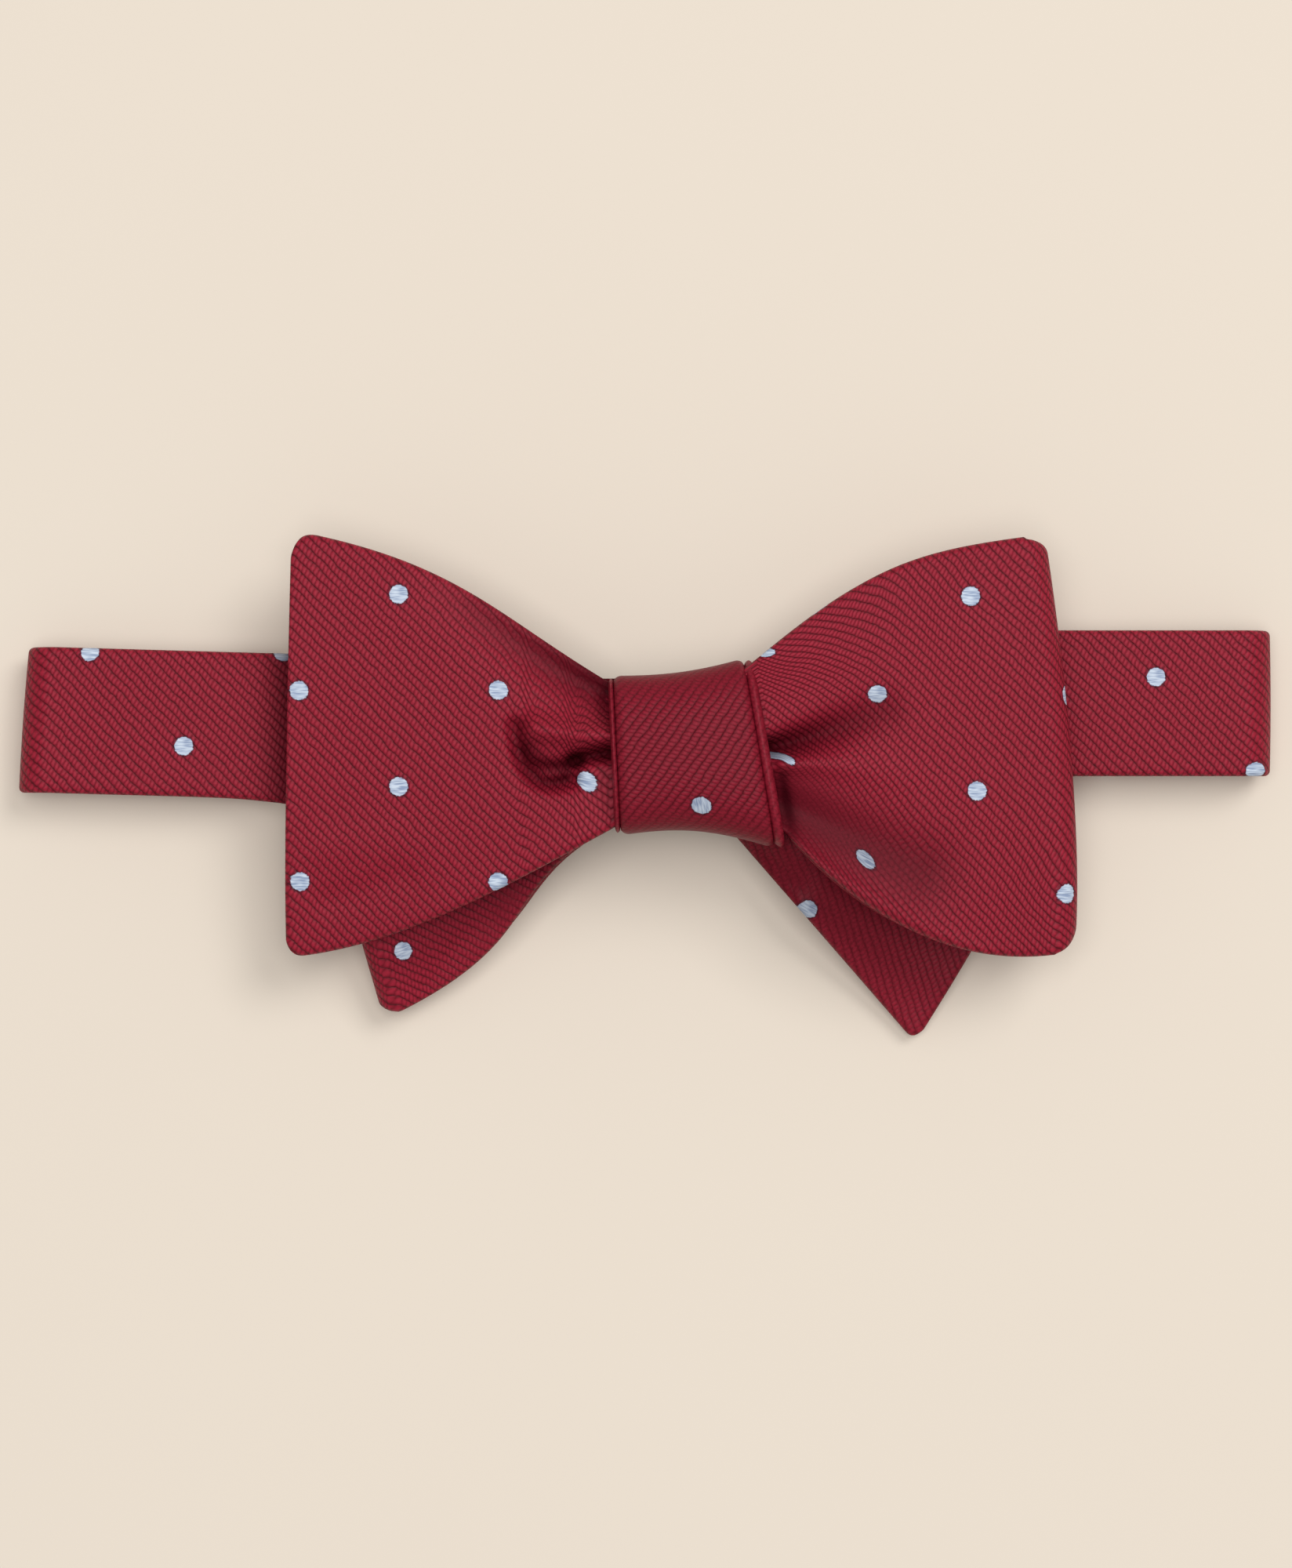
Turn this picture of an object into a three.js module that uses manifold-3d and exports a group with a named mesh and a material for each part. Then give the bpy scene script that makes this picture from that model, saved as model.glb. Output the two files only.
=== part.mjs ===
// A self-tied butterfly bow tie in woven silk, lying flat with its neckband closed behind it.
// Millimetres. +X runs to the right of the bow as it is looked at, +Y to its top edge and +Z out of
// its front. The origin is the centre of the underside of the whole tie.
// The tie is two blades. Each makes one bow: a flat end on one side of the knot and a folded bight on
// the other. The neckband turns under at both sides and closes behind the knot with a hook and an eye.

import * as THREE from 'three';
import { mergeVertices } from 'three/addons/utils/BufferGeometryUtils.js';
import Module from 'manifold-3d';

const wasm = await Module();
wasm.setup();

// ---------- driving dimensions ----------
const SILK = 0.45;               // thickness of a silk panel
const INTERLINING = 0.8;         // thickness of the woven interlining in the blades
const LAYER_GAP = 0.2;           // clearance between a silk and the interlining
const SEAM = 2.4;                // width over which the two silks close to their seam
const SEAM_GAP = 0.2;            // clearance between the two silks at the seam
const REST_GAP = 0.3;            // clearance between pieces that lie on each other
const ROOT_GAP = 0.4;            // clearance between a wing and the side of the knot

const SLEEVE_WALL = 0.4;         // silk of the neckband's sleeve
const BAND_WIDTH = 22.4;         // neckband in front, across
const STRAP_WIDTH = 18;          // neckband behind, across
const BAND_THICK = 2.0;          // neckband in front, sleeve and interlining together
const STRAP_THICK = 1.4;         // neckband behind, where its interlining is thinner
const STRAP_LEFT_LIFT = 0.6;     // left strap's height, lifted by the slider's middle bar
const BAND_BOTTOM = 7.2;         // height of the front neckband's underside
const FOLD_X = 91.6;             // where the neckband begins to turn under, each side
const CLOSURE_X = 20.5;          // centre of the hook's and the eye's strap bars, each side
const LEFT_BAND_Y = 8.9;         // middle of the left neckband at the edge of the bow
const LEFT_BAND_SLOPE = 0.028;   // its rise towards the left turn
const CENTRE_BAND_Y = 5;         // middle of the neckband behind the knot
const RIGHT_BAND_Y = 12.4;       // middle of the right neckband
const CLOSURE_Y = 6.6;           // middle of the hook and the eye

const KNOT_LEFT = [-4.3, -5.2];  // x of the knot's left edge, at its bottom and at its top
const KNOT_RIGHT = [20.0, 16.4]; // x of the knot's right edge, at its bottom and at its top
const KNOT_BOTTOM = [-7.1, -9.6];// y of the knot's lower edge, at its left and at its right
const KNOT_TOP = [16.0, 18.6];   // y of the knot's upper edge, at its left and at its right
const KNOT_CROWN = 0.9;          // how far the knot's front stands proud in the middle
const WRAP_SETBACK = 1.0;        // how far the top turn stops short of the turn under it
const THROAT_THICK = 4.8;        // thickness of each gathered waist inside the knot

const HOOK_METAL = 1.1;          // thickness of the hook's and the eye's plate
const BAR_WIDTH = 1.4;           // width of the bar that a strap turns round
const FRAME_MARGIN = 0.5;        // clearance between a strap's edge and a metal frame
const FRAME_RIM = 1.3;           // width of a metal frame's side
const FRAME_CHAMFER = 0.6;       // cut across a metal frame's corners
const TURN_CLEARANCE = 0.4;      // clearance between a bar and the strap turned round it
const SWING_CLEARANCE = 0.6;     // clearance between a metal rail and the strap that swings by it
const LIP = 1.2;                 // how far the hook's lip reaches under the eye's rim
const LIP_CLEARANCE = 0.5;       // travel left once the lip is clear of the rim
const NECK_SWING = Math.PI / 4;  // how far each strap swings as the neck loop opens
const TONGUE_WIDTH = 6;          // width of the hook's tongue
const TONGUE_CLEARANCE = 0.8;    // clearance between the tongue and each side of its slot
const EYE_SLOT = [1.5, 7.2];     // x of the eye's slot, from its rim to its far end
const EYE_RIM = 2.5;             // width of the rim that the hook holds
const TONGUE_STEP = [-5.5, -4];  // x where the hook's tongue steps up over the eye
const LAP_LENGTH = 12;           // right strap's lap, sewn down beyond the eye's bar
const SLIDER_X = -52;            // centre of the slider
const SLIDER_PITCH = 5.5;        // distance between neighbouring bars of the slider
const SLIDER_BAR = 0.9;          // thickness of the slider's end bars
const SLIDER_FLOOR_BAR = 0.4;    // thickness of the slider's middle bar, under the strap
const SLIDER_FLOOR_HALF = 1.5;   // half the width of the slider's middle bar
const TAIL_LOOP = 2.4;           // from the slider's first bar to the end of the loop sewn round it
const TACK_LENGTH = 1.2;         // bar tack, along the strap
const TACK_THICK = 0.35;         // bar tack, above the strap
const TACK_MARGIN = 2;           // from a bar tack's end to the strap's edge
const LEFT_DRIFT = [-58, -24];   // x between which the left neckband climbs to its own height
const RIGHT_DRIFT = [24, 60];    // x between which the right neckband climbs to its own height

// ---------- worked-out heights ----------
const BLADE_HALF = INTERLINING / 2 + LAYER_GAP + SILK;
const BAND_MID = BAND_BOTTOM + BAND_THICK / 2;
const WRAP_THICK = 2 * SILK + INTERLINING + 2 * LAYER_GAP;
const KNOT_BASE = BAND_BOTTOM + BAND_THICK + REST_GAP;
const KNOT_WALL = WRAP_THICK + LAYER_GAP + SILK;
const REAR_BOW_Z = KNOT_BASE + KNOT_WALL + REST_GAP + THROAT_THICK / 2;
const FRONT_BOW_Z = REAR_BOW_Z + THROAT_THICK + REST_GAP;
const KNOT_FRONT = FRONT_BOW_Z + THROAT_THICK / 2 + REST_GAP + KNOT_WALL;
const RELEASE = LIP + LIP_CLEARANCE;

// ---------- materials ----------
const finish = (color, roughness, metalness = 0) => ({ color, roughness, metalness });
const silkTwill = finish(0x87192a, 0.5);
const silkBack = finish(0x7a1626, 0.55);
const woolInterlining = finish(0xd9d2c4, 0.9);
const nickel = finish(0xb9b6ae, 0.3, 1);
const thread = finish(0x6f1422, 0.6);

const bowTie = new THREE.Group();

function addPiece(name, geometry, look) {
  const mesh = new THREE.Mesh(geometry, new THREE.MeshStandardMaterial(look));
  mesh.name = name;
  bowTie.add(mesh);
}

// ---------- small tools ----------
const mix = (a, b, t) => a + (b - a) * t;
const point2 = ([x, y]) => new THREE.Vector2(x, y);
const smooth = (from, to, x) => THREE.MathUtils.smoothstep(x, from, to);

// A value that runs through a, b and c at t = 0, 1/2 and 1.
function through([a, b, c], t) {
  return a + (4 * b - 3 * a - c) * t + 2 * (a + c - 2 * b) * t * t;
}

function spread(count, from = 0, to = 1) {
  return Array.from({ length: count + 1 }, (_, i) => mix(from, to, i / count));
}

// Turns a triangle list right side out: its signed volume must be positive.
function closedGeometry(points, triangles) {
  let volume = 0;
  for (const [a, b, c] of triangles) {
    volume += points[a].dot(new THREE.Vector3().crossVectors(points[b], points[c]));
  }
  const faces = volume > 0 ? triangles : triangles.map(([a, b, c]) => [a, c, b]);
  const geometry = new THREE.BufferGeometry();
  geometry.setAttribute('position', new THREE.Float32BufferAttribute(
    points.flatMap((p) => [p.x, p.y, p.z]), 3));
  geometry.setIndex(faces.flat());
  return geometry;
}

// Closes two equal grids of points, one on each side of a layer, into one solid. A ring's rows join
// end to end, so it only has walls at its first and last column.
function layerSolid(near, far, ring = false) {
  const columns = near.length;
  const rows = near[0].length;
  const points = [...near.flat(), ...far.flat()];
  const other = columns * rows;
  const at = (i, j) => i * rows + (j % rows);
  const triangles = [];
  const quad = (a, b, c, d) => triangles.push([a, b, c], [a, c, d]);
  const lastRow = ring ? rows : rows - 1;
  for (let i = 0; i < columns - 1; i++) {
    for (let j = 0; j < lastRow; j++) {
      quad(at(i, j), at(i + 1, j), at(i + 1, j + 1), at(i, j + 1));
      quad(other + at(i, j), other + at(i, j + 1), other + at(i + 1, j + 1), other + at(i + 1, j));
    }
  }
  for (let j = 0; j < lastRow; j++) {
    quad(at(0, j), at(0, j + 1), other + at(0, j + 1), other + at(0, j));
    const end = columns - 1;
    quad(at(end, j + 1), at(end, j), other + at(end, j), other + at(end, j + 1));
  }
  if (!ring) {
    for (let i = 0; i < columns - 1; i++) {
      quad(at(i + 1, 0), at(i, 0), other + at(i, 0), other + at(i + 1, 0));
      const top = rows - 1;
      quad(at(i, top), at(i + 1, top), other + at(i + 1, top), other + at(i, top));
    }
  }
  return closedGeometry(points, triangles);
}

function toManifold(geometry) {
  const plain = geometry.clone();
  plain.deleteAttribute('normal');
  plain.deleteAttribute('uv');
  const merged = mergeVertices(plain, 1e-4);
  return new wasm.Manifold(new wasm.Mesh({
    numProp: 3,
    vertProperties: new Float32Array(merged.attributes.position.array),
    triVerts: new Uint32Array(merged.index.array),
  }));
}

function united(...geometries) {
  const solid = geometries.map(toManifold).reduce((all, next) => all.add(next));
  const mesh = solid.getMesh();
  const geometry = new THREE.BufferGeometry();
  geometry.setAttribute('position', new THREE.Float32BufferAttribute(mesh.vertProperties, 3));
  geometry.setIndex(Array.from(mesh.triVerts));
  return geometry;
}

function block(low, high) {
  const size = high.map((value, axis) => value - low[axis]);
  return new THREE.BoxGeometry(...size)
    .translate(...high.map((value, axis) => (value + low[axis]) / 2));
}

// ---------- wings ----------
// One edge of a wing from the knot to its outer corner, which is rounded: a cubic curve cut short by
// the corner's radius, and a quadratic curve round the corner on to the end edge.
function edgeTo(curve, endEdge, radius, fromStart) {
  const length = curve.getLength();
  const endShare = radius / endEdge.getLength();
  const turn = new THREE.QuadraticBezierCurve(
    curve.getPointAt(1 - radius / length),
    curve.getPoint(1),
    endEdge.getPointAt(fromStart ? endShare : 1 - endShare));
  const straight = (length - radius) / (length - radius + turn.getLength());
  return (u) => (u < straight
    ? curve.getPointAt((u / straight) * (1 - radius / length))
    : turn.getPoint((u - straight) / (1 - straight)));
}

const PLEATS = 1.5;              // pleats across a gathered wing
const PLEAT_START = 0.05;        // share of its width at which the first pleat starts
const PLEAT_REACH = 0.45;        // share of its length over which the pleats fade
const CURL_START = 0.75;         // share of its width above which the upper edge curls back
const CURL_RISE = 0.3;           // share of its length over which the curl grows

// A wing's middle surface. u runs from the knot to the outer edge, v from the lower edge to the upper.
// Its plan is a blend of the lower and upper edges, pulled on to the end edge as u nears 1. Its height
// runs from the bow's height at the knot to the three end heights, with pleats that fade with u.
function wingSurface({ top, bottom, end, radii, rootZ, endZ, pleat = 0, droop = 0 }) {
  const endEdge = new THREE.CubicBezierCurve(...end.map(point2));
  const upper = edgeTo(new THREE.CubicBezierCurve(...top.map(point2)), endEdge, radii[1], true);
  const lower = edgeTo(new THREE.CubicBezierCurve(...bottom.map(point2)), endEdge, radii[0], false);
  const shares = radii.map((radius) => radius / endEdge.getLength());
  const lowEnd = lower(1);
  const highEnd = upper(1);
  const surface = (u, v) => {
    const flat = lower(u).lerp(upper(u), v);
    const edge = endEdge.getPointAt(mix(1 - shares[0], shares[1], v));
    const chord = lowEnd.clone().lerp(highEnd, v);
    flat.add(edge.sub(chord).multiplyScalar(u ** 3));
    const fade = 1 - smooth(0, PLEAT_REACH, u);
    const folds = -pleat * Math.cos(2 * Math.PI * (v - PLEAT_START) * PLEATS) * fade;
    const curl = -droop * smooth(CURL_START, 1, v) * smooth(0, CURL_RISE, u) * (1 - u);
    const height = mix(rootZ, through(endZ, v), smooth(0, 1, u)) + folds + curl;
    return new THREE.Vector3(flat.x, flat.y, height);
  };
  const width = (u) => upper(u).distanceTo(lower(u));
  const length = lower(0).lerp(upper(0), 0.5).distanceTo(lowEnd.clone().lerp(highEnd, 0.5));
  return { surface, width, length };
}

function normalAt(surface, u, v) {
  const step = 1e-3;
  const du = surface(Math.min(u + step, 1), v).sub(surface(Math.max(u - step, 0), v));
  const dv = surface(u, Math.min(v + step, 1)).sub(surface(u, Math.max(v - step, 0)));
  const normal = du.cross(dv).normalize();
  return normal.z < 0 ? normal.negate() : normal;
}

// Rows across a sheet: one at each edge, one at each seam's inner limit and even ones between.
function seamRows(width, count) {
  const seam = SEAM / width;
  return [0, ...spread(count, seam, 1 - seam), 1];
}

// Half thickness inside the silk: full over the interlining, closing to the seam at the sheet's rim.
function pocket(distance) {
  return mix(SEAM_GAP / 2, INTERLINING / 2 + LAYER_GAP, smooth(0, SEAM, distance));
}

function flatEndWing(name, plan) {
  const { surface, width, length } = wingSurface(plan);
  const seamU = SEAM / length;
  const columns = [...spread(9, 0, 1 - seamU), 1 - seamU / 3, 1];
  const place = (u, v, offset) => surface(u, v).addScaledVector(normalAt(surface, u, v), offset);
  const panel = (side) => {
    const grid = (thickness) => columns.map((u) => seamRows(width(u), 7).map((v) => {
      const rim = Math.min(v * width(u), (1 - v) * width(u), (1 - u) * length);
      return place(u, v, side * (pocket(rim) + thickness));
    }));
    return layerSolid(grid(SILK), grid(0));
  };
  const core = (side) => columns.slice(0, -2).map((u) => seamRows(width(u), 7).slice(1, -1)
    .map((v) => place(u, v, side * INTERLINING / 2)));
  addPiece(`${name}_face_silk`, panel(1), silkTwill);
  addPiece(`${name}_interlining`, layerSolid(core(1), core(-1)), woolInterlining);
  addPiece(`${name}_back_silk`, panel(-1), silkBack);
}

// A bight is the blade folded in two round its outer edge. w runs along the strip: out along the front
// leg, half round the fold and back along the rear leg. The gap between the legs opens towards the fold.
function bightWing(name, plan) {
  const { surface, width } = wingSurface(plan);
  const legShare = 0.44;
  const middle = (w, v) => {
    const u = Math.min(w, 1 - w) / legShare;
    const inFold = u > 1;
    const at = Math.min(u, 1);
    const halfGap = mix(plan.rootGap, plan.foldGap, smooth(0, 1, at));
    const up = normalAt(surface, at, v);
    const along = surface(1, Math.max(v - 0.05, 0)).sub(surface(1, Math.min(v + 0.05, 1)));
    const out = along.cross(up).normalize();
    out.multiplyScalar(Math.sign(out.x) * Math.sign(surface(1, v).x));
    const angle = inFold ? Math.PI * (w - legShare) / (1 - 2 * legShare) : (w < 0.5 ? 0 : Math.PI);
    const outward = up.multiplyScalar(Math.cos(angle)).addScaledVector(out, Math.sin(angle));
    return { base: surface(at, v), outward, halfGap, at };
  };
  const place = (w, v, offset) => {
    const { base, outward, halfGap } = middle(w, v);
    return base.addScaledVector(outward, halfGap + offset);
  };
  const leg = spread(7, 0, legShare);
  const fold = spread(4, legShare, 1 - legShare).slice(1, -1);
  const columns = [...leg, ...fold, ...leg.map((w) => 1 - w).reverse()];
  const rowsAt = (w) => seamRows(width(Math.min(w, 1 - w, legShare) / legShare), 5);
  const panel = (side) => {
    const grid = (thickness) => columns.map((w) => rowsAt(w).map((v) => {
      const across = width(Math.min(w, 1 - w, legShare) / legShare);
      return place(w, v, side * (pocket(Math.min(v, 1 - v) * across) + thickness));
    }));
    return layerSolid(grid(SILK), grid(0));
  };
  const core = (side) => columns.map((w) => rowsAt(w).slice(1, -1)
    .map((v) => place(w, v, side * INTERLINING / 2)));
  addPiece(`${name}_outer_silk`, panel(1), silkTwill);
  addPiece(`${name}_interlining`, layerSolid(core(1), core(-1)), woolInterlining);
  addPiece(`${name}_inner_silk`, panel(-1), silkBack);
}

// A wing starts just outside the knot's edge, which leans, so its two root corners follow that edge.
const knotEdgeX = ([low, high], y) => mix(low, high, (y - KNOT_BOTTOM[0]) / (KNOT_TOP[0] - KNOT_BOTTOM[0]));
const leftRoot = (y) => [knotEdgeX(KNOT_LEFT, y) - ROOT_GAP, y];
const rightRoot = (y) => [knotEdgeX(KNOT_RIGHT, y) + ROOT_GAP, y];
const foldReach = (gap) => gap + BLADE_HALF;

const FRONT_LEFT_CORNERS = { upper: [-53.1, 38.4], lower: [-54.3, -26.4] };
flatEndWing('front_left_wing', {
  top: [leftRoot(16.2), [-22.9, 24.4], [-28.6, 33.2], FRONT_LEFT_CORNERS.upper],
  bottom: [leftRoot(-6.8), [-17.2, -13.3], [-36.6, -24.9], FRONT_LEFT_CORNERS.lower],
  end: [FRONT_LEFT_CORNERS.upper, [-54.9, 18], [-54.7, -5.5], FRONT_LEFT_CORNERS.lower],
  radii: [1.2, 3.4],
  rootZ: FRONT_BOW_Z,
  endZ: [12.8, 17.6, 17.4],
  pleat: 1.1,
  droop: 2,
});

const FRONT_FOLD_GAP = 2.2;
const FRONT_RIGHT_CORNERS = {
  upper: [60.6 - foldReach(FRONT_FOLD_GAP), 37.6],
  lower: [65.3 - foldReach(FRONT_FOLD_GAP), -25.6],
};
bightWing('front_right_wing', {
  top: [rightRoot(17.8), [34.2, 32.8], [40, 35.5], FRONT_RIGHT_CORNERS.upper],
  bottom: [rightRoot(-7.6), [30.7, -18.5], [44.9, -27.8], FRONT_RIGHT_CORNERS.lower],
  end: [FRONT_RIGHT_CORNERS.upper, [59.5, 23.1], [63.5, -8.3], FRONT_RIGHT_CORNERS.lower],
  radii: [1.6, 1.4],
  rootZ: FRONT_BOW_Z,
  endZ: [14.2, 17.3, 17.2],
  rootGap: THROAT_THICK / 2 - BLADE_HALF,
  foldGap: FRONT_FOLD_GAP,
});

const REAR_FOLD_GAP = 1.6;
const REAR_LEFT_CORNERS = {
  upper: [-50.5 + foldReach(REAR_FOLD_GAP), 12],
  lower: [-40.9 + foldReach(REAR_FOLD_GAP), -35.6],
};
bightWing('rear_left_wing', {
  top: [leftRoot(13.5), [-20, 17], [-34, 17], REAR_LEFT_CORNERS.upper],
  bottom: [leftRoot(-6.5), [-22.3, -15.6], [-13.6, -24.7], REAR_LEFT_CORNERS.lower],
  end: [REAR_LEFT_CORNERS.upper, [-47.5, -2], [-42, -20], REAR_LEFT_CORNERS.lower],
  radii: [1.4, 3],
  rootZ: REAR_BOW_Z,
  endZ: [3.8, 11.2, 12.9],
  rootGap: THROAT_THICK / 2 - BLADE_HALF,
  foldGap: REAR_FOLD_GAP,
});

const REAR_RIGHT_CORNERS = { upper: [62, -6], lower: [41.3, -39.6] };
flatEndWing('rear_right_wing', {
  top: [rightRoot(15), [32, 20], [52, 10], REAR_RIGHT_CORNERS.upper],
  bottom: [rightRoot(-7.4), [22, -17], [30, -27], REAR_RIGHT_CORNERS.lower],
  end: [REAR_RIGHT_CORNERS.upper, [55, -17.2], [48, -28.6], REAR_RIGHT_CORNERS.lower],
  radii: [1.8, 3],
  rootZ: REAR_BOW_Z,
  endZ: [1.9, 6, 10.9],
});

// ---------- knot ----------
// The knot is wound round the waists of both bows. Its section across X is a soft-cornered rectangle
// |y/a|^n + |z/b|^n = 1, given by an angle, and its width leans with its two side edges.
const KNOT_SQUARENESS = 3;
const KNOT_STEPS = 28;

function knotPoint(share, angle, inset) {
  const power = 2 / KNOT_SQUARENESS;
  const cosine = Math.cos(angle);
  const sine = Math.sin(angle);
  const unitY = Math.sign(cosine) * Math.abs(cosine) ** power;
  const unitZ = Math.sign(sine) * Math.abs(sine) ** power;
  const waist = 0.5 * Math.sin(Math.PI * share);
  const bottom = mix(...KNOT_BOTTOM, share) + inset + waist;
  const top = mix(...KNOT_TOP, share) - inset - waist;
  const y = mix(bottom, top, (unitY + 1) / 2);
  const base = KNOT_BASE + inset;
  const front = KNOT_FRONT - inset;
  const bulge = unitZ > 0 ? KNOT_CROWN * (1 - unitY ** 2) * Math.sin(Math.PI * share) * unitZ : 0;
  const z = mix(base, front, (unitZ + 1) / 2) + bulge;
  return new THREE.Vector3(mix(knotEdgeX(KNOT_LEFT, y), knotEdgeX(KNOT_RIGHT, y), share), y, z);
}

function knotLayer(from, to, setback) {
  const share = setback / (KNOT_RIGHT[1] - KNOT_LEFT[1]);
  const turns = spread(KNOT_STEPS).slice(0, -1).map((turn) => turn * 2 * Math.PI);
  const grid = (inset) => spread(5, share, 1 - share)
    .map((across) => turns.map((angle) => knotPoint(across, angle, inset)));
  return layerSolid(grid(from), grid(to), true);
}

const wrapCore = SILK + LAYER_GAP;
const wrapBack = wrapCore + INTERLINING + LAYER_GAP;
addPiece('knot_wrap_face_silk', knotLayer(0, SILK, WRAP_SETBACK), silkTwill);
addPiece('knot_wrap_interlining',
  knotLayer(wrapCore, wrapCore + INTERLINING, WRAP_SETBACK), woolInterlining);
addPiece('knot_wrap_back_silk', knotLayer(wrapBack, wrapBack + SILK, WRAP_SETBACK), silkBack);
addPiece('knot_under_turn', knotLayer(WRAP_THICK + LAYER_GAP, KNOT_WALL, 0), silkTwill);

// The waists: each blade gathered to a thick oval bundle, cut off just inside the knot's two edges.
const WAIST_MARGIN = 1;
function throat(centreZ) {
  const sides = spread(14).slice(0, -1);
  const columns = spread(3).map((share) => sides.map((turn) => {
    const angle = turn * 2 * Math.PI;
    const bottom = mix(...KNOT_BOTTOM, share) + KNOT_WALL + WAIST_MARGIN;
    const top = mix(...KNOT_TOP, share) - KNOT_WALL - WAIST_MARGIN;
    const y = mix(bottom, top, (Math.cos(angle) + 1) / 2);
    const z = centreZ + (THROAT_THICK / 2) * Math.sin(angle);
    return new THREE.Vector3(mix(knotEdgeX(KNOT_LEFT, y), knotEdgeX(KNOT_RIGHT, y), share), y, z);
  }));
  const points = columns.flat();
  const rows = sides.length;
  const triangles = [];
  for (let i = 0; i < columns.length - 1; i++) {
    for (let j = 0; j < rows; j++) {
      const a = i * rows + j;
      const b = i * rows + ((j + 1) % rows);
      triangles.push([a, b, b + rows], [a, b + rows, a + rows]);
    }
  }
  const last = (columns.length - 1) * rows;
  for (let j = 1; j < rows - 1; j++) {
    triangles.push([0, j + 1, j], [last, last + j, last + j + 1]);
  }
  return closedGeometry(points, triangles);
}

addPiece('knot_rear_waist', throat(REAR_BOW_Z), silkBack);
addPiece('knot_front_waist', throat(FRONT_BOW_Z), silkTwill);

// ---------- neckband ----------
// A ribbon is carried along stations. Each has a middle point, a normal in the XZ plane and a
// thickness. Its section is a flat oval of the neckband's width.
function bandY(x) {
  if (x < 0) {
    const drift = LEFT_BAND_SLOPE * Math.max(0, LEFT_DRIFT[0] - x);
    return mix(LEFT_BAND_Y, CENTRE_BAND_Y, smooth(...LEFT_DRIFT, x)) + drift;
  }
  return mix(CENTRE_BAND_Y, RIGHT_BAND_Y, smooth(...RIGHT_DRIFT, x));
}

// The back straps run straight from the turns to the closure.
function strapY(x) {
  const turn = Math.sign(x) * FOLD_X;
  const share = (FOLD_X - Math.abs(x)) / (FOLD_X - CLOSURE_X);
  return mix(bandY(turn), CLOSURE_Y, THREE.MathUtils.clamp(share, 0, 1));
}

const station = (x, z, angle, thick = BAND_THICK, width = BAND_WIDTH, y = bandY(x)) => ({
  x, z, y, across: Math.cos(angle), along: Math.sin(angle), thick, width,
});
const strapStop = (x, z, angle, thick) => station(x, z, angle, thick, STRAP_WIDTH, strapY(x));
const strapStation = (x, z, angle) => strapStop(x, z, angle, STRAP_THICK);

function straightRun(from, to, z, count) {
  return spread(count, from, to).map((x) => station(x, z, 0));
}

// Part of a turn in the XZ plane: the normal leans by the angle from +Z towards +X.
function arcRun(centreX, centreZ, radius, [fromAngle, toAngle], stop) {
  return spread(8).map((share) => {
    const angle = mix(fromAngle, toAngle, share);
    return stop(centreX + radius * Math.sin(angle), centreZ + radius * Math.cos(angle), angle, share);
  });
}

function ovalLoop({ x, y, z, across, along, thick, width }, inset) {
  const half = thick / 2 - inset;
  const reach = width / 2 - inset - half;
  return [0, 1].flatMap((end) => spread(3).map((share) => {
    const angle = Math.PI * (share - 0.5 + end);
    const sideways = (end ? -reach : reach) + half * Math.cos(angle);
    const normal = half * Math.sin(angle);
    return new THREE.Vector3(x + along * normal, y + sideways, z + across * normal);
  }));
}

function sleeve(run) {
  return layerSolid(run.map((stop) => ovalLoop(stop, 0)),
    run.map((stop) => ovalLoop(stop, SLEEVE_WALL)), true);
}

function ribbonCore(run, inset) {
  const side = (sign) => run.map(({ x, y, z, across, along, thick, width }) => [-1, 1].map((edge) => {
    const normal = sign * (thick / 2 - inset);
    return new THREE.Vector3(x + along * normal, y + edge * (width / 2 - thick / 2 - inset),
      z + across * normal);
  }));
  return layerSolid(side(1), side(-1));
}

const coreInset = SLEEVE_WALL + LAYER_GAP;

function bandPiece(name, run, look = silkTwill) {
  addPiece(`${name}_sleeve`, sleeve(run), look);
  addPiece(`${name}_interlining`, ribbonCore(run, coreInset), woolInterlining);
}

const hingeGap = REST_GAP / 2;
const sides = [
  { side: 'left', sign: -1, strapMid: STRAP_LEFT_LIFT + STRAP_THICK / 2 },
  { side: 'right', sign: 1, strapMid: STRAP_THICK / 2 },
];
const turnRadius = BAR_WIDTH / 2 + TURN_CLEARANCE + STRAP_THICK / 2;

bandPiece('neckband_centre', straightRun(hingeGap - CLOSURE_X, CLOSURE_X - hingeGap, BAND_MID, 1));
for (const { side, sign, strapMid } of sides) {
  const frontRun = straightRun(sign * (CLOSURE_X + hingeGap), sign * (FOLD_X - hingeGap), BAND_MID, 8);
  bandPiece(`neckband_${side}`, frontRun);
  const foldZ = (BAND_MID + strapMid) / 2;
  const foldRun = arcRun(sign * (FOLD_X + hingeGap), foldZ, BAND_MID - foldZ, [0, sign * Math.PI],
    (x, z, angle, share) => station(x, z, angle, mix(BAND_THICK, STRAP_THICK, share),
      mix(BAND_WIDTH, STRAP_WIDTH, share), bandY(sign * FOLD_X)));
  bandPiece(`neckband_${side}_turn`, foldRun);
  const backRun = [CLOSURE_X + hingeGap, FOLD_X - hingeGap].map((x) => strapStation(sign * x, strapMid, 0));
  bandPiece(`back_strap_${side}`, backRun, silkBack);
}

// ---------- closure ----------
const leftBarZ = sides[0].strapMid + turnRadius;
const rightBarZ = sides[1].strapMid + turnRadius;
const frameHalf = STRAP_WIDTH / 2 + FRAME_MARGIN;

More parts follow.
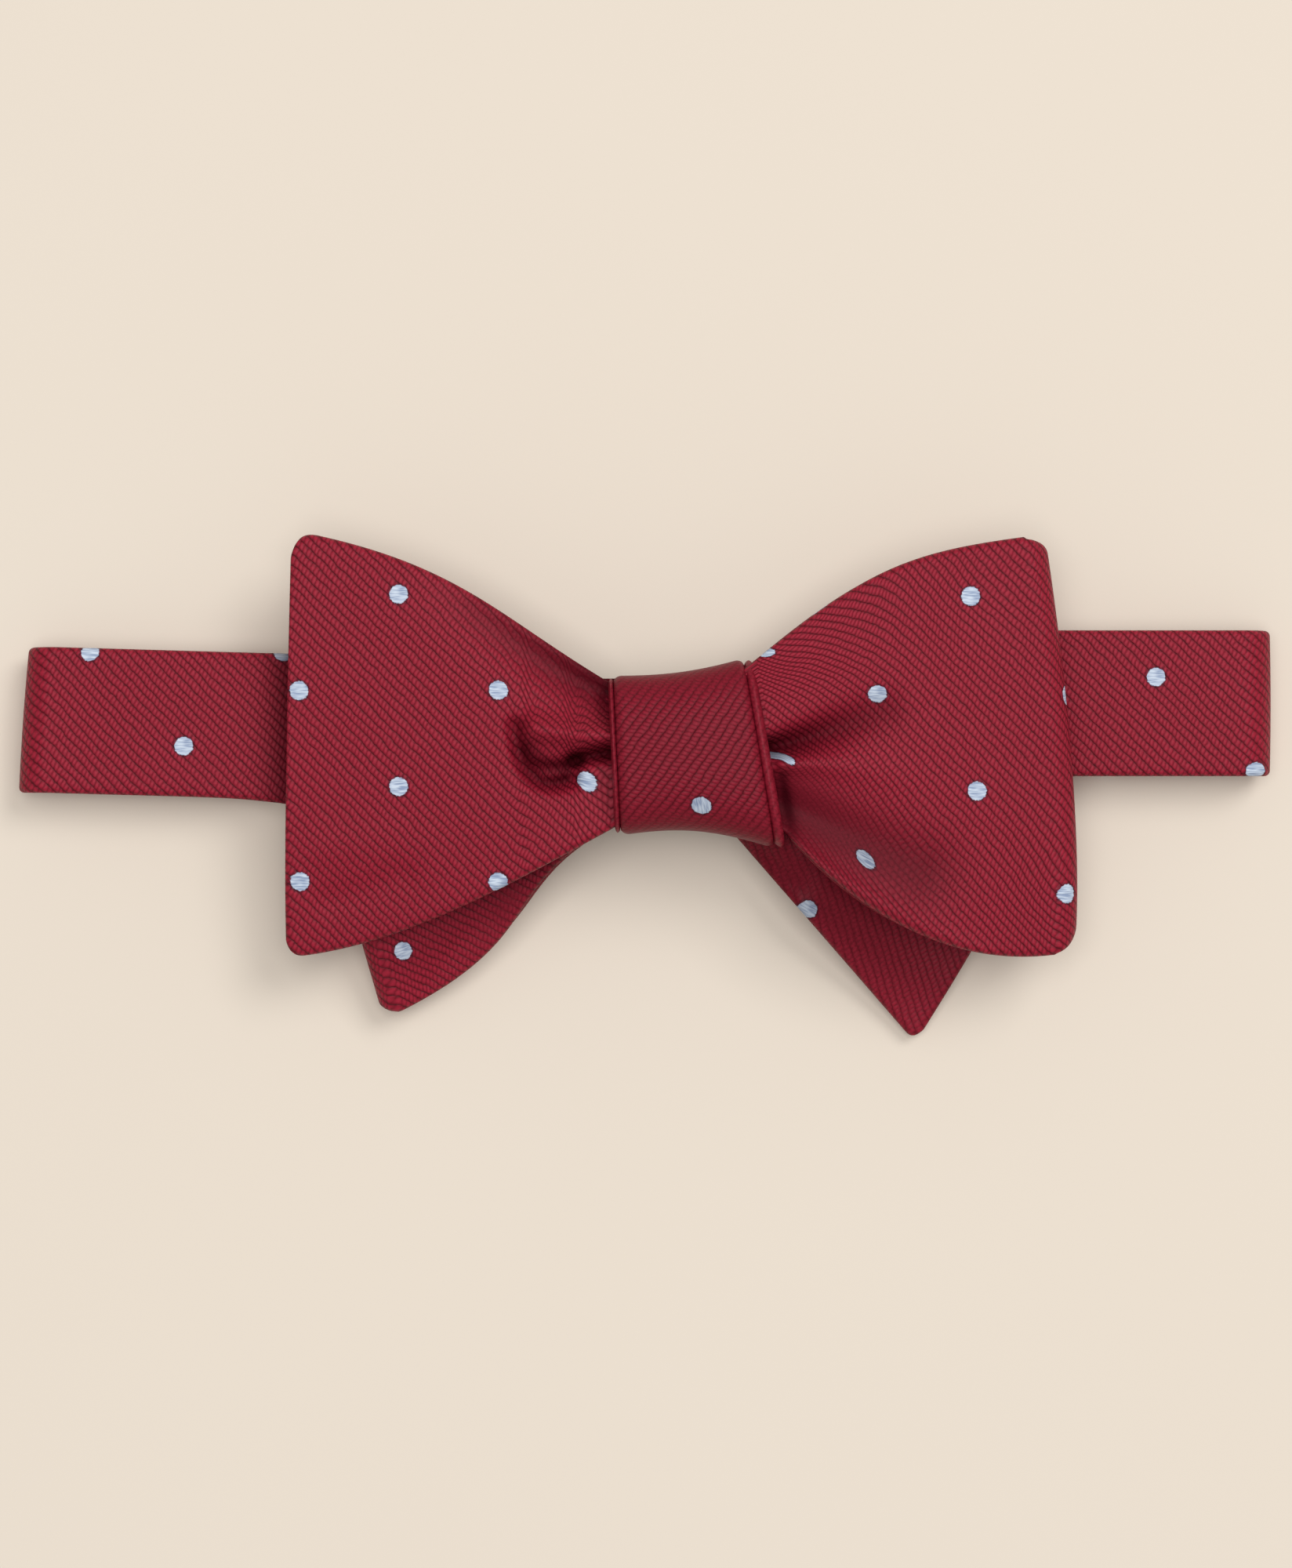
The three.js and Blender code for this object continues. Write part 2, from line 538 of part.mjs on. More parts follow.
// The left strap turns round the hook's bar and comes back over itself as a tail whose end is sewn round
// the slider's first bar. The turn is slack along the strap and above the bar, so that the hook can
// travel to its release while the strap lies flat or swings.
const noseX = -CLOSURE_X + RELEASE + REST_GAP;
const noseSlack = RELEASE * Math.sin(NECK_SWING);
const noseRadius = turnRadius + noseSlack / 2;
const noseZ = leftBarZ + noseSlack / 2;
const sliderBarX = SLIDER_X + SLIDER_PITCH;
const sliderBarZ = sides[0].strapMid + STRAP_THICK / 2 + 2 * LAYER_GAP + SILK + SLIDER_BAR / 2;
const tailStart = -CLOSURE_X - 4;
const tailEnd = sliderBarX + TAIL_LOOP;
const turnTop = noseZ + noseRadius;
addPiece('back_strap_left_turn', sleeve([
  strapStation(-CLOSURE_X + hingeGap, sides[0].strapMid, Math.PI),
  ...arcRun(noseX, noseZ, noseRadius, [Math.PI, 0], strapStation),
  strapStation(tailStart, turnTop, 0),
]), silkBack);
const tailLean = Math.atan2(turnTop - sliderBarZ, tailStart - tailEnd);
addPiece('adjuster_tail', sleeve([
  strapStation(tailStart - REST_GAP, turnTop, 0),
  strapStation(tailStart - 4, mix(turnTop, sliderBarZ, 0.2), -tailLean),
  strapStation(tailEnd + 3, mix(turnTop, sliderBarZ, 0.9), -tailLean),
  strapStation(tailEnd + REST_GAP, sliderBarZ, 0),
]), silkBack);
const loopRadius = SLIDER_BAR / 2 + LAYER_GAP + SILK / 2;
addPiece('adjuster_tail_loop', ribbonCore([
  strapStop(tailEnd, sliderBarZ + loopRadius, 0, SILK),
  ...arcRun(sliderBarX, sliderBarZ, loopRadius, [0, -Math.PI],
    (x, z, angle) => strapStop(x, z, angle, SILK)),
  strapStop(tailEnd, sliderBarZ - loopRadius, -Math.PI, SILK),
], 0), silkBack);

// The right strap turns round the eye's bar and is sewn down on itself.
const lapEnd = CLOSURE_X + LAP_LENGTH;
const lapZ = STRAP_THICK + REST_GAP + STRAP_THICK / 2;
addPiece('back_strap_right_turn', sleeve([
  ...arcRun(CLOSURE_X - hingeGap, rightBarZ, turnRadius, [Math.PI, 2 * Math.PI], strapStation),
  strapStation(CLOSURE_X + 3, mix(rightBarZ + turnRadius, lapZ, 0.2), 0.2),
  strapStation(lapEnd - 3, lapZ + 0.1, 0.1),
  strapStation(lapEnd, lapZ, 0),
]), silkBack);

// A flat stamped plate in the XY plane with its holes, lifted to its height.
function stamped(outline, holes, thick, low) {
  const shape = new THREE.Shape(outline.map(point2));
  shape.holes = holes.map((hole) => new THREE.Path(hole.map(point2)));
  return new THREE.ExtrudeGeometry(shape, { depth: thick, bevelEnabled: false }).translate(0, 0, low);
}

const rectangle = (x0, x1, y0, y1) => [[x0, y0], [x1, y0], [x1, y1], [x0, y1]];

function chamfered(x0, x1, y0, y1, cut) {
  return [[x0 + cut, y0], [x1 - cut, y0], [x1, y0 + cut], [x1, y1 - cut],
    [x1 - cut, y1], [x0 + cut, y1], [x0, y1 - cut], [x0, y0 + cut]];
}

// A frame that holds a strap: the bar at barX and a rail beyond the strap's turn.
function strapFrame(barX, railX, inward, thick, low) {
  const y = CLOSURE_Y;
  const outer = [barX - inward * BAR_WIDTH / 2, railX + inward * FRAME_RIM];
  const inner = [barX + inward * BAR_WIDTH / 2, railX];
  const [x0, x1] = outer.sort((a, b) => a - b);
  const [h0, h1] = inner.sort((a, b) => a - b);
  const half = frameHalf + FRAME_RIM;
  return stamped(chamfered(x0, x1, y - half, y + half, FRAME_CHAMFER),
    [rectangle(h0, h1, y - frameHalf, y + frameHalf)], thick, low);
}

const eyeRailX = CLOSURE_X - turnRadius - STRAP_THICK / 2 - SWING_CLEARANCE - REST_GAP;
const eyeLow = rightBarZ - HOOK_METAL / 2;
const slotHalf = TONGUE_WIDTH / 2 + TONGUE_CLEARANCE;
const plateHalf = slotHalf + EYE_RIM;
const eyePlate = stamped(
  chamfered(EYE_SLOT[0] - EYE_RIM, eyeRailX, CLOSURE_Y - plateHalf, CLOSURE_Y + plateHalf, EYE_RIM / 2),
  [rectangle(...EYE_SLOT, CLOSURE_Y - slotHalf, CLOSURE_Y + slotHalf)],
  HOOK_METAL, eyeLow);
addPiece('closure_eye', united(strapFrame(CLOSURE_X, eyeRailX, -1, HOOK_METAL, eyeLow), eyePlate), nickel);

// The hook's tongue is a strip in the XZ plane: it steps up over the eye's rim, goes down through the
// slot and turns back under the rim.
const hookRailX = noseX + noseRadius + STRAP_THICK / 2 + SWING_CLEARANCE;
const hookLow = leftBarZ - HOOK_METAL / 2;
const tongueLow = eyeLow + HOOK_METAL + REST_GAP;
const lipHigh = eyeLow - REST_GAP;
const bendX = EYE_SLOT[0] + REST_GAP;
const lipX = EYE_SLOT[0] - LIP;
const tongueOutline = [
  [hookRailX, hookLow], [TONGUE_STEP[0], hookLow], [TONGUE_STEP[1], tongueLow], [bendX, tongueLow],
  [bendX, lipHigh], [lipX, lipHigh], [lipX, lipHigh - HOOK_METAL],
  [bendX + HOOK_METAL, lipHigh - HOOK_METAL], [bendX + HOOK_METAL, tongueLow + HOOK_METAL],
  [TONGUE_STEP[1] - HOOK_METAL / 2, tongueLow + HOOK_METAL],
  [TONGUE_STEP[0] - HOOK_METAL / 2, hookLow + HOOK_METAL], [hookRailX, hookLow + HOOK_METAL],
];
const tongue = new THREE.ExtrudeGeometry(new THREE.Shape(tongueOutline.map(point2)),
  { depth: TONGUE_WIDTH, bevelEnabled: false })
  .rotateX(Math.PI / 2)
  .translate(0, CLOSURE_Y + TONGUE_WIDTH / 2, 0);
addPiece('closure_hook', united(strapFrame(-CLOSURE_X, hookRailX, 1, HOOK_METAL, hookLow), tongue), nickel);

// The slider: two end bars over the strap, a middle bar under it and a side plate at each edge.
const sliderY = strapY(SLIDER_X);
const sliderHalf = frameHalf + FRAME_RIM;
const sliderTop = sliderBarZ + SLIDER_BAR / 2;
const sliderBars = [-1, 1].map((end) => block(
  [SLIDER_X + end * SLIDER_PITCH - SLIDER_BAR / 2, sliderY - sliderHalf, sliderTop - SLIDER_BAR],
  [SLIDER_X + end * SLIDER_PITCH + SLIDER_BAR / 2, sliderY + sliderHalf, sliderTop]));
const sliderFloor = block([SLIDER_X - SLIDER_FLOOR_HALF, sliderY - sliderHalf, 0],
  [SLIDER_X + SLIDER_FLOOR_HALF, sliderY + sliderHalf, SLIDER_FLOOR_BAR]);
const sliderSides = [-1, 1].map((edge) => {
  const [y0, y1] = [edge * frameHalf, edge * sliderHalf].sort((a, b) => a - b);
  return block([SLIDER_X - SLIDER_PITCH - SLIDER_BAR / 2, sliderY + y0, 0],
    [SLIDER_X + SLIDER_PITCH + SLIDER_BAR / 2, sliderY + y1, sliderTop]);
});
addPiece('adjuster_slider', united(...sliderBars, sliderFloor, ...sliderSides), nickel);

// Bar tacks: a close row of thread across each sewn end.
function barTack(x, z) {
  const half = STRAP_WIDTH / 2 - TACK_MARGIN;
  return block([x - TACK_LENGTH / 2, strapY(x) - half, z],
    [x + TACK_LENGTH / 2, strapY(x) + half, z + TACK_THICK]);
}

const loopTop = sliderBarZ + loopRadius + SILK / 2 + LAYER_GAP;
const lapTop = lapZ + STRAP_THICK / 2 + LAYER_GAP;
addPiece('adjuster_bar_tack', barTack(tailEnd - TACK_LENGTH / 2 - LAYER_GAP, loopTop), thread);
addPiece('eye_bar_tack', barTack(lapEnd - TACK_LENGTH, lapTop), thread);

export default bowTie;
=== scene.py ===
# %% [markdown]
# # A self-tied bow tie, built as cloth
# The tie is two blades of twill silk, each an interlining between two silks, tied round a neckband that
# closes behind the knot. The solid model fixes the sizes and the joints. This lesson lays the cloth over it:
# every blade, band and wrap is a surface worked out from two parameters, and the weave is a material that
# reads the cloth's own flat coordinates, so that ribs and spots follow each fold.

# %% Load the frame
import math

import bmesh
import bpy
import numpy as np
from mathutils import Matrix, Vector


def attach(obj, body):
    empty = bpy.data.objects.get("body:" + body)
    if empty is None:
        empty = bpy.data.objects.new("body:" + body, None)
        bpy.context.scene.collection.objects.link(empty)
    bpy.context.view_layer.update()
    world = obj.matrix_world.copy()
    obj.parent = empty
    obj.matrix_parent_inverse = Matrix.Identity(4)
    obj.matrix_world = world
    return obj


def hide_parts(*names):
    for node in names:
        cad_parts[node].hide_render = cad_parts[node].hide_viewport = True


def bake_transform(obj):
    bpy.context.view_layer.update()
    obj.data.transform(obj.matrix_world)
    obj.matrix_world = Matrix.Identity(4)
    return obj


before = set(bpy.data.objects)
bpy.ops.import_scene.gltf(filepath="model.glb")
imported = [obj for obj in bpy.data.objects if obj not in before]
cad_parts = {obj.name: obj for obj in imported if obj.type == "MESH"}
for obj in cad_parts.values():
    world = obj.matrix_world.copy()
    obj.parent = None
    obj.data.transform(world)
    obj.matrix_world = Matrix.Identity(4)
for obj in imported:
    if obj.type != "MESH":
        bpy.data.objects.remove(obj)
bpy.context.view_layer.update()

# %% [markdown]
# ## The camera
# A tie is laid flat and looked at from straight above. A long lens keeps its outline free of perspective.
# It comes first, because everything after it is judged through it.

# %% Camera
MM = 0.001                    # sizes below are in millimetres; Blender works in metres
CAMERA_HEIGHT = 800 * MM
LENS = 118.4                  # on a 36 mm sensor that is laid along the picture's height

camera_data = bpy.data.cameras.new("camera")
camera_data.sensor_fit = "VERTICAL"
camera_data.sensor_height = 36
camera_data.lens = LENS
camera = bpy.data.objects.new("camera", camera_data)
camera.location = (0, 0, CAMERA_HEIGHT)
bpy.context.collection.objects.link(camera)
bpy.context.scene.camera = camera
print("camera", tuple(camera.location))

# %% [markdown]
# ## Small tools for shapes
# Every surface below is worked out as whole arrays. These few functions mix, ease and bend numbers.

# %% Mixing and curves
def mix(a, b, t):
    """The straight-line blend from a to b."""
    return a + (b - a) * t


def ease(low, high, x):
    """0 below low, 1 above high, and 3t^2 - 2t^3 between them."""
    t = np.clip((np.asarray(x, float) - low) / (high - low), 0, 1)
    return t * t * (3 - 2 * t)


def through(values, t):
    """The parabola that passes through three values at t = 0, 1/2 and 1."""
    a, b, c = values
    return a + (4 * b - 3 * a - c) * t + 2 * (a + c - 2 * b) * t * t


def bezier(points, t):
    """A Bezier curve with any number of points: straight-line blends of neighbours, repeated to one point."""
    t = np.asarray(t, float)[..., None]
    level = [np.asarray(p, float) for p in points]
    while len(level) > 1:
        level = [mix(a, b, t) for a, b in zip(level, level[1:])]
    return level[0]


def even_curve(points):
    """A Bezier curve as a function of the share of its length, and that length."""
    t = np.linspace(0, 1, 201)
    line = bezier(points, t)
    run = np.append(0, np.cumsum(np.linalg.norm(np.diff(line, axis=0), axis=1)))
    return (lambda share: bezier(points, np.interp(share, run / run[-1], t))), run[-1]


def unit(vectors):
    """Vectors scaled to length 1."""
    return vectors / np.linalg.norm(vectors, axis=-1, keepdims=True)


def grid_normals(points):
    """Normals of a grid of points: the cross product of its two directions, turned to the front."""
    normals = unit(np.cross(np.gradient(points, axis=0), np.gradient(points, axis=1)))
    return np.where(normals[..., 2:3] < 0, -normals, normals)


# %% [markdown]
# ## From grids to closed meshes
# A cloth has thickness, so each piece is two grids, its near and its far side, joined round their rims. A
# tube's grid closes on itself. The cloth's flat coordinates, in millimetres, go in a UV map. Two values on
# each vertex say how crisply the ribs stand there ("crisp") and how far painted shade darkens the colour.

# %% Closed cloth from two grids
def grid_faces(columns, rows, ring):
    """Corner numbers of a two-sided grid's faces, and where each corner lies on the grid (column, row)."""
    last = rows if ring else rows - 1
    i, j = [a.ravel() for a in np.meshgrid(np.arange(columns - 1), np.arange(last), indexing="ij")]
    near = np.stack([np.stack([i, j], 1), np.stack([i + 1, j], 1), np.stack([i + 1, j + 1], 1),
                     np.stack([i, j + 1], 1)], 1)
    far = near[:, ::-1]
    j = np.arange(last)
    walls = []
    for column, order in ((0, (0, 1)), (columns - 1, (1, 0))):
        ends = np.stack([np.stack([np.full(last, column), j + k], 1) for k in order], 1)
        walls.append(np.concatenate([ends, ends[:, ::-1]], 1))
    if not ring:
        i = np.arange(columns - 1)
        for row, order in ((0, (1, 0)), (rows - 1, (0, 1))):
            ends = np.stack([np.stack([i + k, np.full(columns - 1, row)], 1) for k in order], 1)
            walls.append(np.concatenate([ends, ends[:, ::-1]], 1))
    spots = np.concatenate([near, far, *walls])
    side = np.concatenate([np.zeros((len(near), 4), int), np.ones((len(far), 4), int),
                           *[np.tile([0, 0, 1, 1], (len(w), 1)) for w in walls]])
    corners = spots[..., 0] * rows + spots[..., 1] % rows + side * columns * rows
    return corners, spots


def put_mesh(name, points, faces, flat=None, crisp=None, painted_shade=None):
    """Makes a mesh object from points in millimetres. flat is the cloth position of each face corner."""
    mesh = bpy.data.meshes.new(name)
    a, b, c, d = [points[faces[:, k]] for k in (0, 1, 2, 3)]
    volume = (a * np.cross(b, c)).sum() + (a * np.cross(c, d)).sum()
    if volume < 0:
        faces = faces[:, ::-1]
        flat = None if flat is None else flat[:, ::-1]
    mesh.from_pydata(points * MM, [], faces)
    mesh.shade_smooth()
    if flat is not None:
        corners = np.ascontiguousarray(flat, np.float32).ravel()
        mesh.uv_layers.new(name="cloth").data.foreach_set("uv", corners)
    for title, values, usual in (("crisp", crisp, 1), ("painted_shade", painted_shade, 0)):
        values = np.full(len(points), usual) if values is None else values
        mesh.attributes.new(title, "FLOAT", "POINT").data.foreach_set("value", values.astype(np.float32))
    piece = bpy.data.objects.new(name, mesh)
    bpy.context.collection.objects.link(piece)
    return piece


def layer(name, near, far, cloth, crisp=None, painted_shade=None, ring=False):
    """A closed piece between two grids. cloth holds each grid point's flat position, and a ring's cloth has
    one more row."""
    columns, rows = near.shape[:2]
    corners, spots = grid_faces(columns, rows, ring)
    flat = cloth[spots[..., 0], spots[..., 1]]
    both = [None if a is None else np.concatenate([a.ravel(), a.ravel()]) for a in (crisp, painted_shade)]
    points = np.concatenate([near.reshape(-1, 3), far.reshape(-1, 3)])
    return put_mesh(name, points, corners, flat, *both)


def finish(piece, material, body, nodes):
    """Gives a piece its material and body, and hides the solids it stands for. A body of None leaves the
    piece unattached."""
    piece.data.materials.append(material)
    if body:
        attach(piece, body)
    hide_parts(*nodes)
    print(f"{piece.name}: {len(piece.data.polygons)} faces on {body}")
    return piece


# %% [markdown]
# ## Materials
# Colours are given as sRGB hex values, and light works on linear numbers, so one function turns
# one into the other. One more adds a node with its settings and links, which keeps each recipe readable.

# %% Colour and node helpers
def colour(hex_value):
    """sRGB hex to linear: a straight part below 0.04045 and a power of 2.4 above it."""
    parts = np.array([int(hex_value[i:i + 2], 16) / 255 for i in (1, 3, 5)])
    linear = np.where(parts <= 0.04045, parts / 12.92, ((parts + 0.055) / 1.055) ** 2.4)
    return (*linear, 1)


def add(tree, kind, sockets=None, **settings):
    """Adds a node and returns it. sockets maps an input to a value, or to an output it is linked from."""
    node = tree.nodes.new(kind)
    for key, value in settings.items():
        setattr(node, key, value)
    for key, value in (sockets or {}).items():
        if isinstance(value, bpy.types.NodeSocket):
            tree.links.new(value, node.inputs[key])
        else:
            node.inputs[key].default_value = value
    return node


def maths(tree, operation, *values, clamp=False):
    """One step of arithmetic on numbers or outputs; gives the output."""
    node = add(tree, "ShaderNodeMath", dict(enumerate(values)), operation=operation, use_clamp=clamp)
    return node.outputs[0]


def new_material(name, **settings):
    """A material with a Principled shader whose even settings sit on its own sockets."""
    material = bpy.data.materials.new(name)
    material.use_nodes = True
    shader = material.node_tree.nodes["Principled BSDF"]
    for key, value in settings.items():
        shader.inputs[key.replace("_", " ")].default_value = value
    return material, material.node_tree, shader


# %% [markdown]
# ### Twill silk
# The cloth is a heavy silk twill. Its warp threads float over the weft in diagonal ribs, each twisted like a
# fine rope, and pale blue spots are woven in as satin. A rib is drawn as a parabola across its pitch, and the
# rope's strands as a second parabola that leans across it. Both give the relief, and a colour that is painted
# highlight on the crests and painted shade in the grooves. The spots sit on a staggered lattice: the nearer
# of two square lattices, one moved by half a step.

# %% Twill silk
RIB_PITCH = 1.16              # from rib to rib
STRAND_PITCH = 0.72           # from strand to strand along a rib
STRAND_LEAN = 0.55            # how much of a strand's pitch it leans by across a rib
RIB_RELIEF = 0.13
SPOT_STEPS = (30.3, 29.0)     # between spots of one lattice, across and down the cloth
SPOT_RADIUS = 1.42
DIAGONAL = math.sqrt(0.5)
SILK_GLOSS = 0.13             # specular level of the flat cloth


def parabola(tree, phase):
    """A row of round humps: 4f(1 - f), where f is the phase's fraction."""
    part = maths(tree, "FRACT", phase)
    rest = maths(tree, "SUBTRACT", 1.0, part)
    return maths(tree, "MULTIPLY", maths(tree, "MULTIPLY", part, rest), 4.0)


def spot_distance(tree, position, shift):
    """Distance in the cloth to the nearest spot of a lattice that is moved by a share of its steps."""
    steps = add(tree, "ShaderNodeVectorMath", {0: position, 1: (*SPOT_STEPS, 1)}, operation="DIVIDE")
    moved = add(tree, "ShaderNodeVectorMath", {0: steps.outputs[0], 1: (shift, shift, 0)}, operation="ADD")
    part = add(tree, "ShaderNodeVectorMath", {0: moved.outputs[0]}, operation="FRACTION")
    centred = add(tree, "ShaderNodeVectorMath", {0: part.outputs[0], 1: (0.5, 0.5, 0)}, operation="SUBTRACT")
    real = add(tree, "ShaderNodeVectorMath", {0: centred.outputs[0], 1: (*SPOT_STEPS, 0)},
               operation="MULTIPLY")
    return add(tree, "ShaderNodeVectorMath", {0: real.outputs[0]}, operation="LENGTH").outputs["Value"]


def twill_silk(name, groove, crest, spotted=True):
    """Claret twill silk. groove and crest are the colours between the ribs and on them: the darker groove is
    painted shade and the lighter crest painted highlight. A vertex attribute gives the painted shade: how far
    the colour is darkened and the gloss dulled, in folds, on the knot, on the rear wings and beside the
    wings. It helps the lamps' own shading there, and stays whatever the light is."""
    material, tree, shader = new_material(name, Roughness=0.46)
    cloth = add(tree, "ShaderNodeUVMap", uv_map="cloth").outputs[0]
    # The threads waver by about a tenth of a millimetre, as woven ones do.
    waver = add(tree, "ShaderNodeTexNoise", {"Vector": cloth, "Scale": 0.35, "Detail": 3.0}).outputs["Color"]
    centred = add(tree, "ShaderNodeVectorMath", {0: waver, 1: (0.5, 0.5, 0.5)},
                  operation="SUBTRACT").outputs[0]
    push = add(tree, "ShaderNodeVectorMath", {0: centred, "Scale": 0.7}, operation="SCALE").outputs[0]
    threads = add(tree, "ShaderNodeVectorMath", {0: cloth, 1: push}, operation="ADD").outputs[0]
    across = add(tree, "ShaderNodeVectorMath", {0: threads, 1: (DIAGONAL, DIAGONAL, 0)},
                 operation="DOT_PRODUCT").outputs["Value"]
    along = add(tree, "ShaderNodeVectorMath", {0: threads, 1: (DIAGONAL, -DIAGONAL, 0)},
                operation="DOT_PRODUCT").outputs["Value"]
    rib_phase = maths(tree, "DIVIDE", across, RIB_PITCH)
    rib = maths(tree, "POWER", parabola(tree, rib_phase), 0.7)
    leaning = maths(tree, "MULTIPLY", maths(tree, "FRACT", rib_phase), STRAND_LEAN)
    strand = parabola(tree, maths(tree, "ADD", maths(tree, "DIVIDE", along, STRAND_PITCH), leaning))
    rope = maths(tree, "MULTIPLY", rib, maths(tree, "MULTIPLY_ADD", strand, 0.55, 0.45))
    crisp = add(tree, "ShaderNodeAttribute", attribute_name="crisp").outputs["Fac"]
    level = maths(tree, "MULTIPLY_ADD", maths(tree, "SUBTRACT", rope, 0.5), crisp, 0.5)
    # Single threads take the dye a little differently.
    fleck = add(tree, "ShaderNodeTexNoise", {"Vector": cloth, "Scale": 2.4, "Detail": 2.0}).outputs["Fac"]
    tint = maths(tree, "MULTIPLY_ADD", maths(tree, "SUBTRACT", fleck, 0.5), 0.8, level, clamp=True)
    # Painted light on the ribs: crest colour where a rib stands lit, groove colour in the shade between ribs.
    ground = add(tree, "ShaderNodeMix", {"Factor": tint, "A": colour(groove), "B": colour(crest)},
                 data_type="RGBA").outputs["Result"]
    painted_shade = add(tree, "ShaderNodeAttribute", attribute_name="painted_shade").outputs["Fac"]
    height = level
    if spotted:
        ragged = maths(tree, "MULTIPLY_ADD", maths(tree, "SUBTRACT", fleck, 0.5), 0.5, 0.0)
        near = maths(tree, "MINIMUM", spot_distance(tree, cloth, 0.5), spot_distance(tree, cloth, 0.0))
        reach = maths(tree, "ADD", near, ragged)
        spot = add(tree, "ShaderNodeMapRange", {"Value": reach, "From Min": SPOT_RADIUS + 0.06,
                   "From Max": SPOT_RADIUS - 0.06}).outputs["Result"]
        # A dark ring round each spot is painted shadow at the foot of the raised satin.
        rim = add(tree, "ShaderNodeMapRange", {"Value": reach, "From Min": SPOT_RADIUS + 0.42,
                  "From Max": SPOT_RADIUS + 0.1}).outputs["Result"]
        spot_shadow_ringed = add(tree, "ShaderNodeMix", {"Factor": maths(tree, "MULTIPLY", rim, 0.6), "A": ground,
                     "B": colour("#2a1020")}, data_type="RGBA").outputs["Result"]
        # Satin floats cross the spot against the ribs and catch the light in streaks.
        stretched = add(tree, "ShaderNodeMapping", {"Vector": cloth, "Rotation": (0, 0, math.radians(45)),
                        "Scale": (0.5, 3.2, 1)}).outputs[0]
        floats = add(tree, "ShaderNodeTexNoise", {"Vector": stretched, "Scale": 1.0, "Detail": 1.0})
        streak = add(tree, "ShaderNodeMapRange", {"Value": floats.outputs["Fac"], "From Min": 0.35,
                     "From Max": 0.65}).outputs["Result"]
        satin = add(tree, "ShaderNodeMix", {"Factor": streak, "A": colour("#93a3c0"),
                    "B": colour("#d3dfee")}, data_type="RGBA").outputs["Result"]
        ground = add(tree, "ShaderNodeMix", {"Factor": spot, "A": spot_shadow_ringed, "B": satin},
                     data_type="RGBA").outputs["Result"]
        proud = maths(tree, "MULTIPLY_ADD", streak, 0.35, 0.8)
        height = add(tree, "ShaderNodeMix", {"Factor": spot, "A": level, "B": proud}).outputs["Result"]
    relief = add(tree, "ShaderNodeBump", {"Height": height, "Strength": 1.0, "Distance": RIB_RELIEF * MM})
    # Painted shade: the colour is pulled towards a near-black claret and the gloss is dulled, as the vertex
    # attribute says.
    ground = add(tree, "ShaderNodeMix", {"Factor": painted_shade, "A": ground, "B": colour("#2c050b")},
                 data_type="RGBA").outputs["Result"]
    gloss = maths(tree, "MULTIPLY_ADD", painted_shade, -SILK_GLOSS, SILK_GLOSS)
    tree.links.new(ground, shader.inputs["Base Color"])
    tree.links.new(gloss, shader.inputs["Specular IOR Level"])
    tree.links.new(relief.outputs[0], shader.inputs["Normal"])
    return material


# Each silk's first colour is painted shade in the grooves, its second painted highlight on the crests.
claret_twill = twill_silk("claret_twill_silk", "#4b0812", "#a32438")
claret_reverse = twill_silk("claret_twill_silk_reverse", "#47050e", "#9a1e30")
print("silk:", claret_twill.name, claret_reverse.name)

# %% [markdown]
# ### Interlining, nickel and thread
# The interlining is a plain weave of wool and cotton that springs back when it is creased. The hook, the eye
# and the slider are stamped steel with a satin nickel plate, barrelled until their edges are soft. The bar
# tacks are twisted polyester thread.

# %% Interlining, nickel and thread
WOOL_PITCH = 0.6              # from thread to thread of the interlining


def plain_weave():
    """Unbleached wool interlining: threads over and under one another, as the product of two sines."""
    material, tree, shader = new_material("wool_interlining", Roughness=0.9)
    cloth = add(tree, "ShaderNodeUVMap", uv_map="cloth").outputs[0]
    parts = add(tree, "ShaderNodeSeparateXYZ", {0: cloth})
    turn = math.pi / WOOL_PITCH
    warp, weft = [maths(tree, "SINE", maths(tree, "MULTIPLY", parts.outputs[k], turn)) for k in (0, 1)]
    level = maths(tree, "MULTIPLY_ADD", maths(tree, "MULTIPLY", warp, weft), 0.5, 0.5)
    tone = add(tree, "ShaderNodeMix", {"Factor": level, "A": colour("#b8ad99"), "B": colour("#ded6c6")},
               data_type="RGBA").outputs["Result"]
    relief = add(tree, "ShaderNodeBump", {"Height": level, "Distance": 0.15 * MM})
    tree.links.new(tone, shader.inputs["Base Color"])
    tree.links.new(relief.outputs[0], shader.inputs["Normal"])
    return material


def satin_nickel():
    """Barrelled nickel plate: a metal whose polish varies in fine short scratches."""
    material, tree, shader = new_material("satin_nickel_plate", Metallic=1.0, Base_Color=colour("#c9c4ba"))
    place = add(tree, "ShaderNodeTexCoord").outputs["Object"]
    stretched = add(tree, "ShaderNodeMapping", {"Vector": place, "Scale": (400, 4000, 4000)}).outputs[0]
    noise = add(tree, "ShaderNodeTexNoise", {"Vector": stretched, "Scale": 1.0, "Detail": 2.0})
    scratch = noise.outputs["Fac"]
    rough = add(tree, "ShaderNodeMapRange", {"Value": scratch, "To Min": 0.22,
                "To Max": 0.42}).outputs["Result"]
    relief = add(tree, "ShaderNodeBump", {"Height": scratch, "Distance": 0.01 * MM})
    tree.links.new(rough, shader.inputs["Roughness"])
    tree.links.new(relief.outputs[0], shader.inputs["Normal"])
    return material


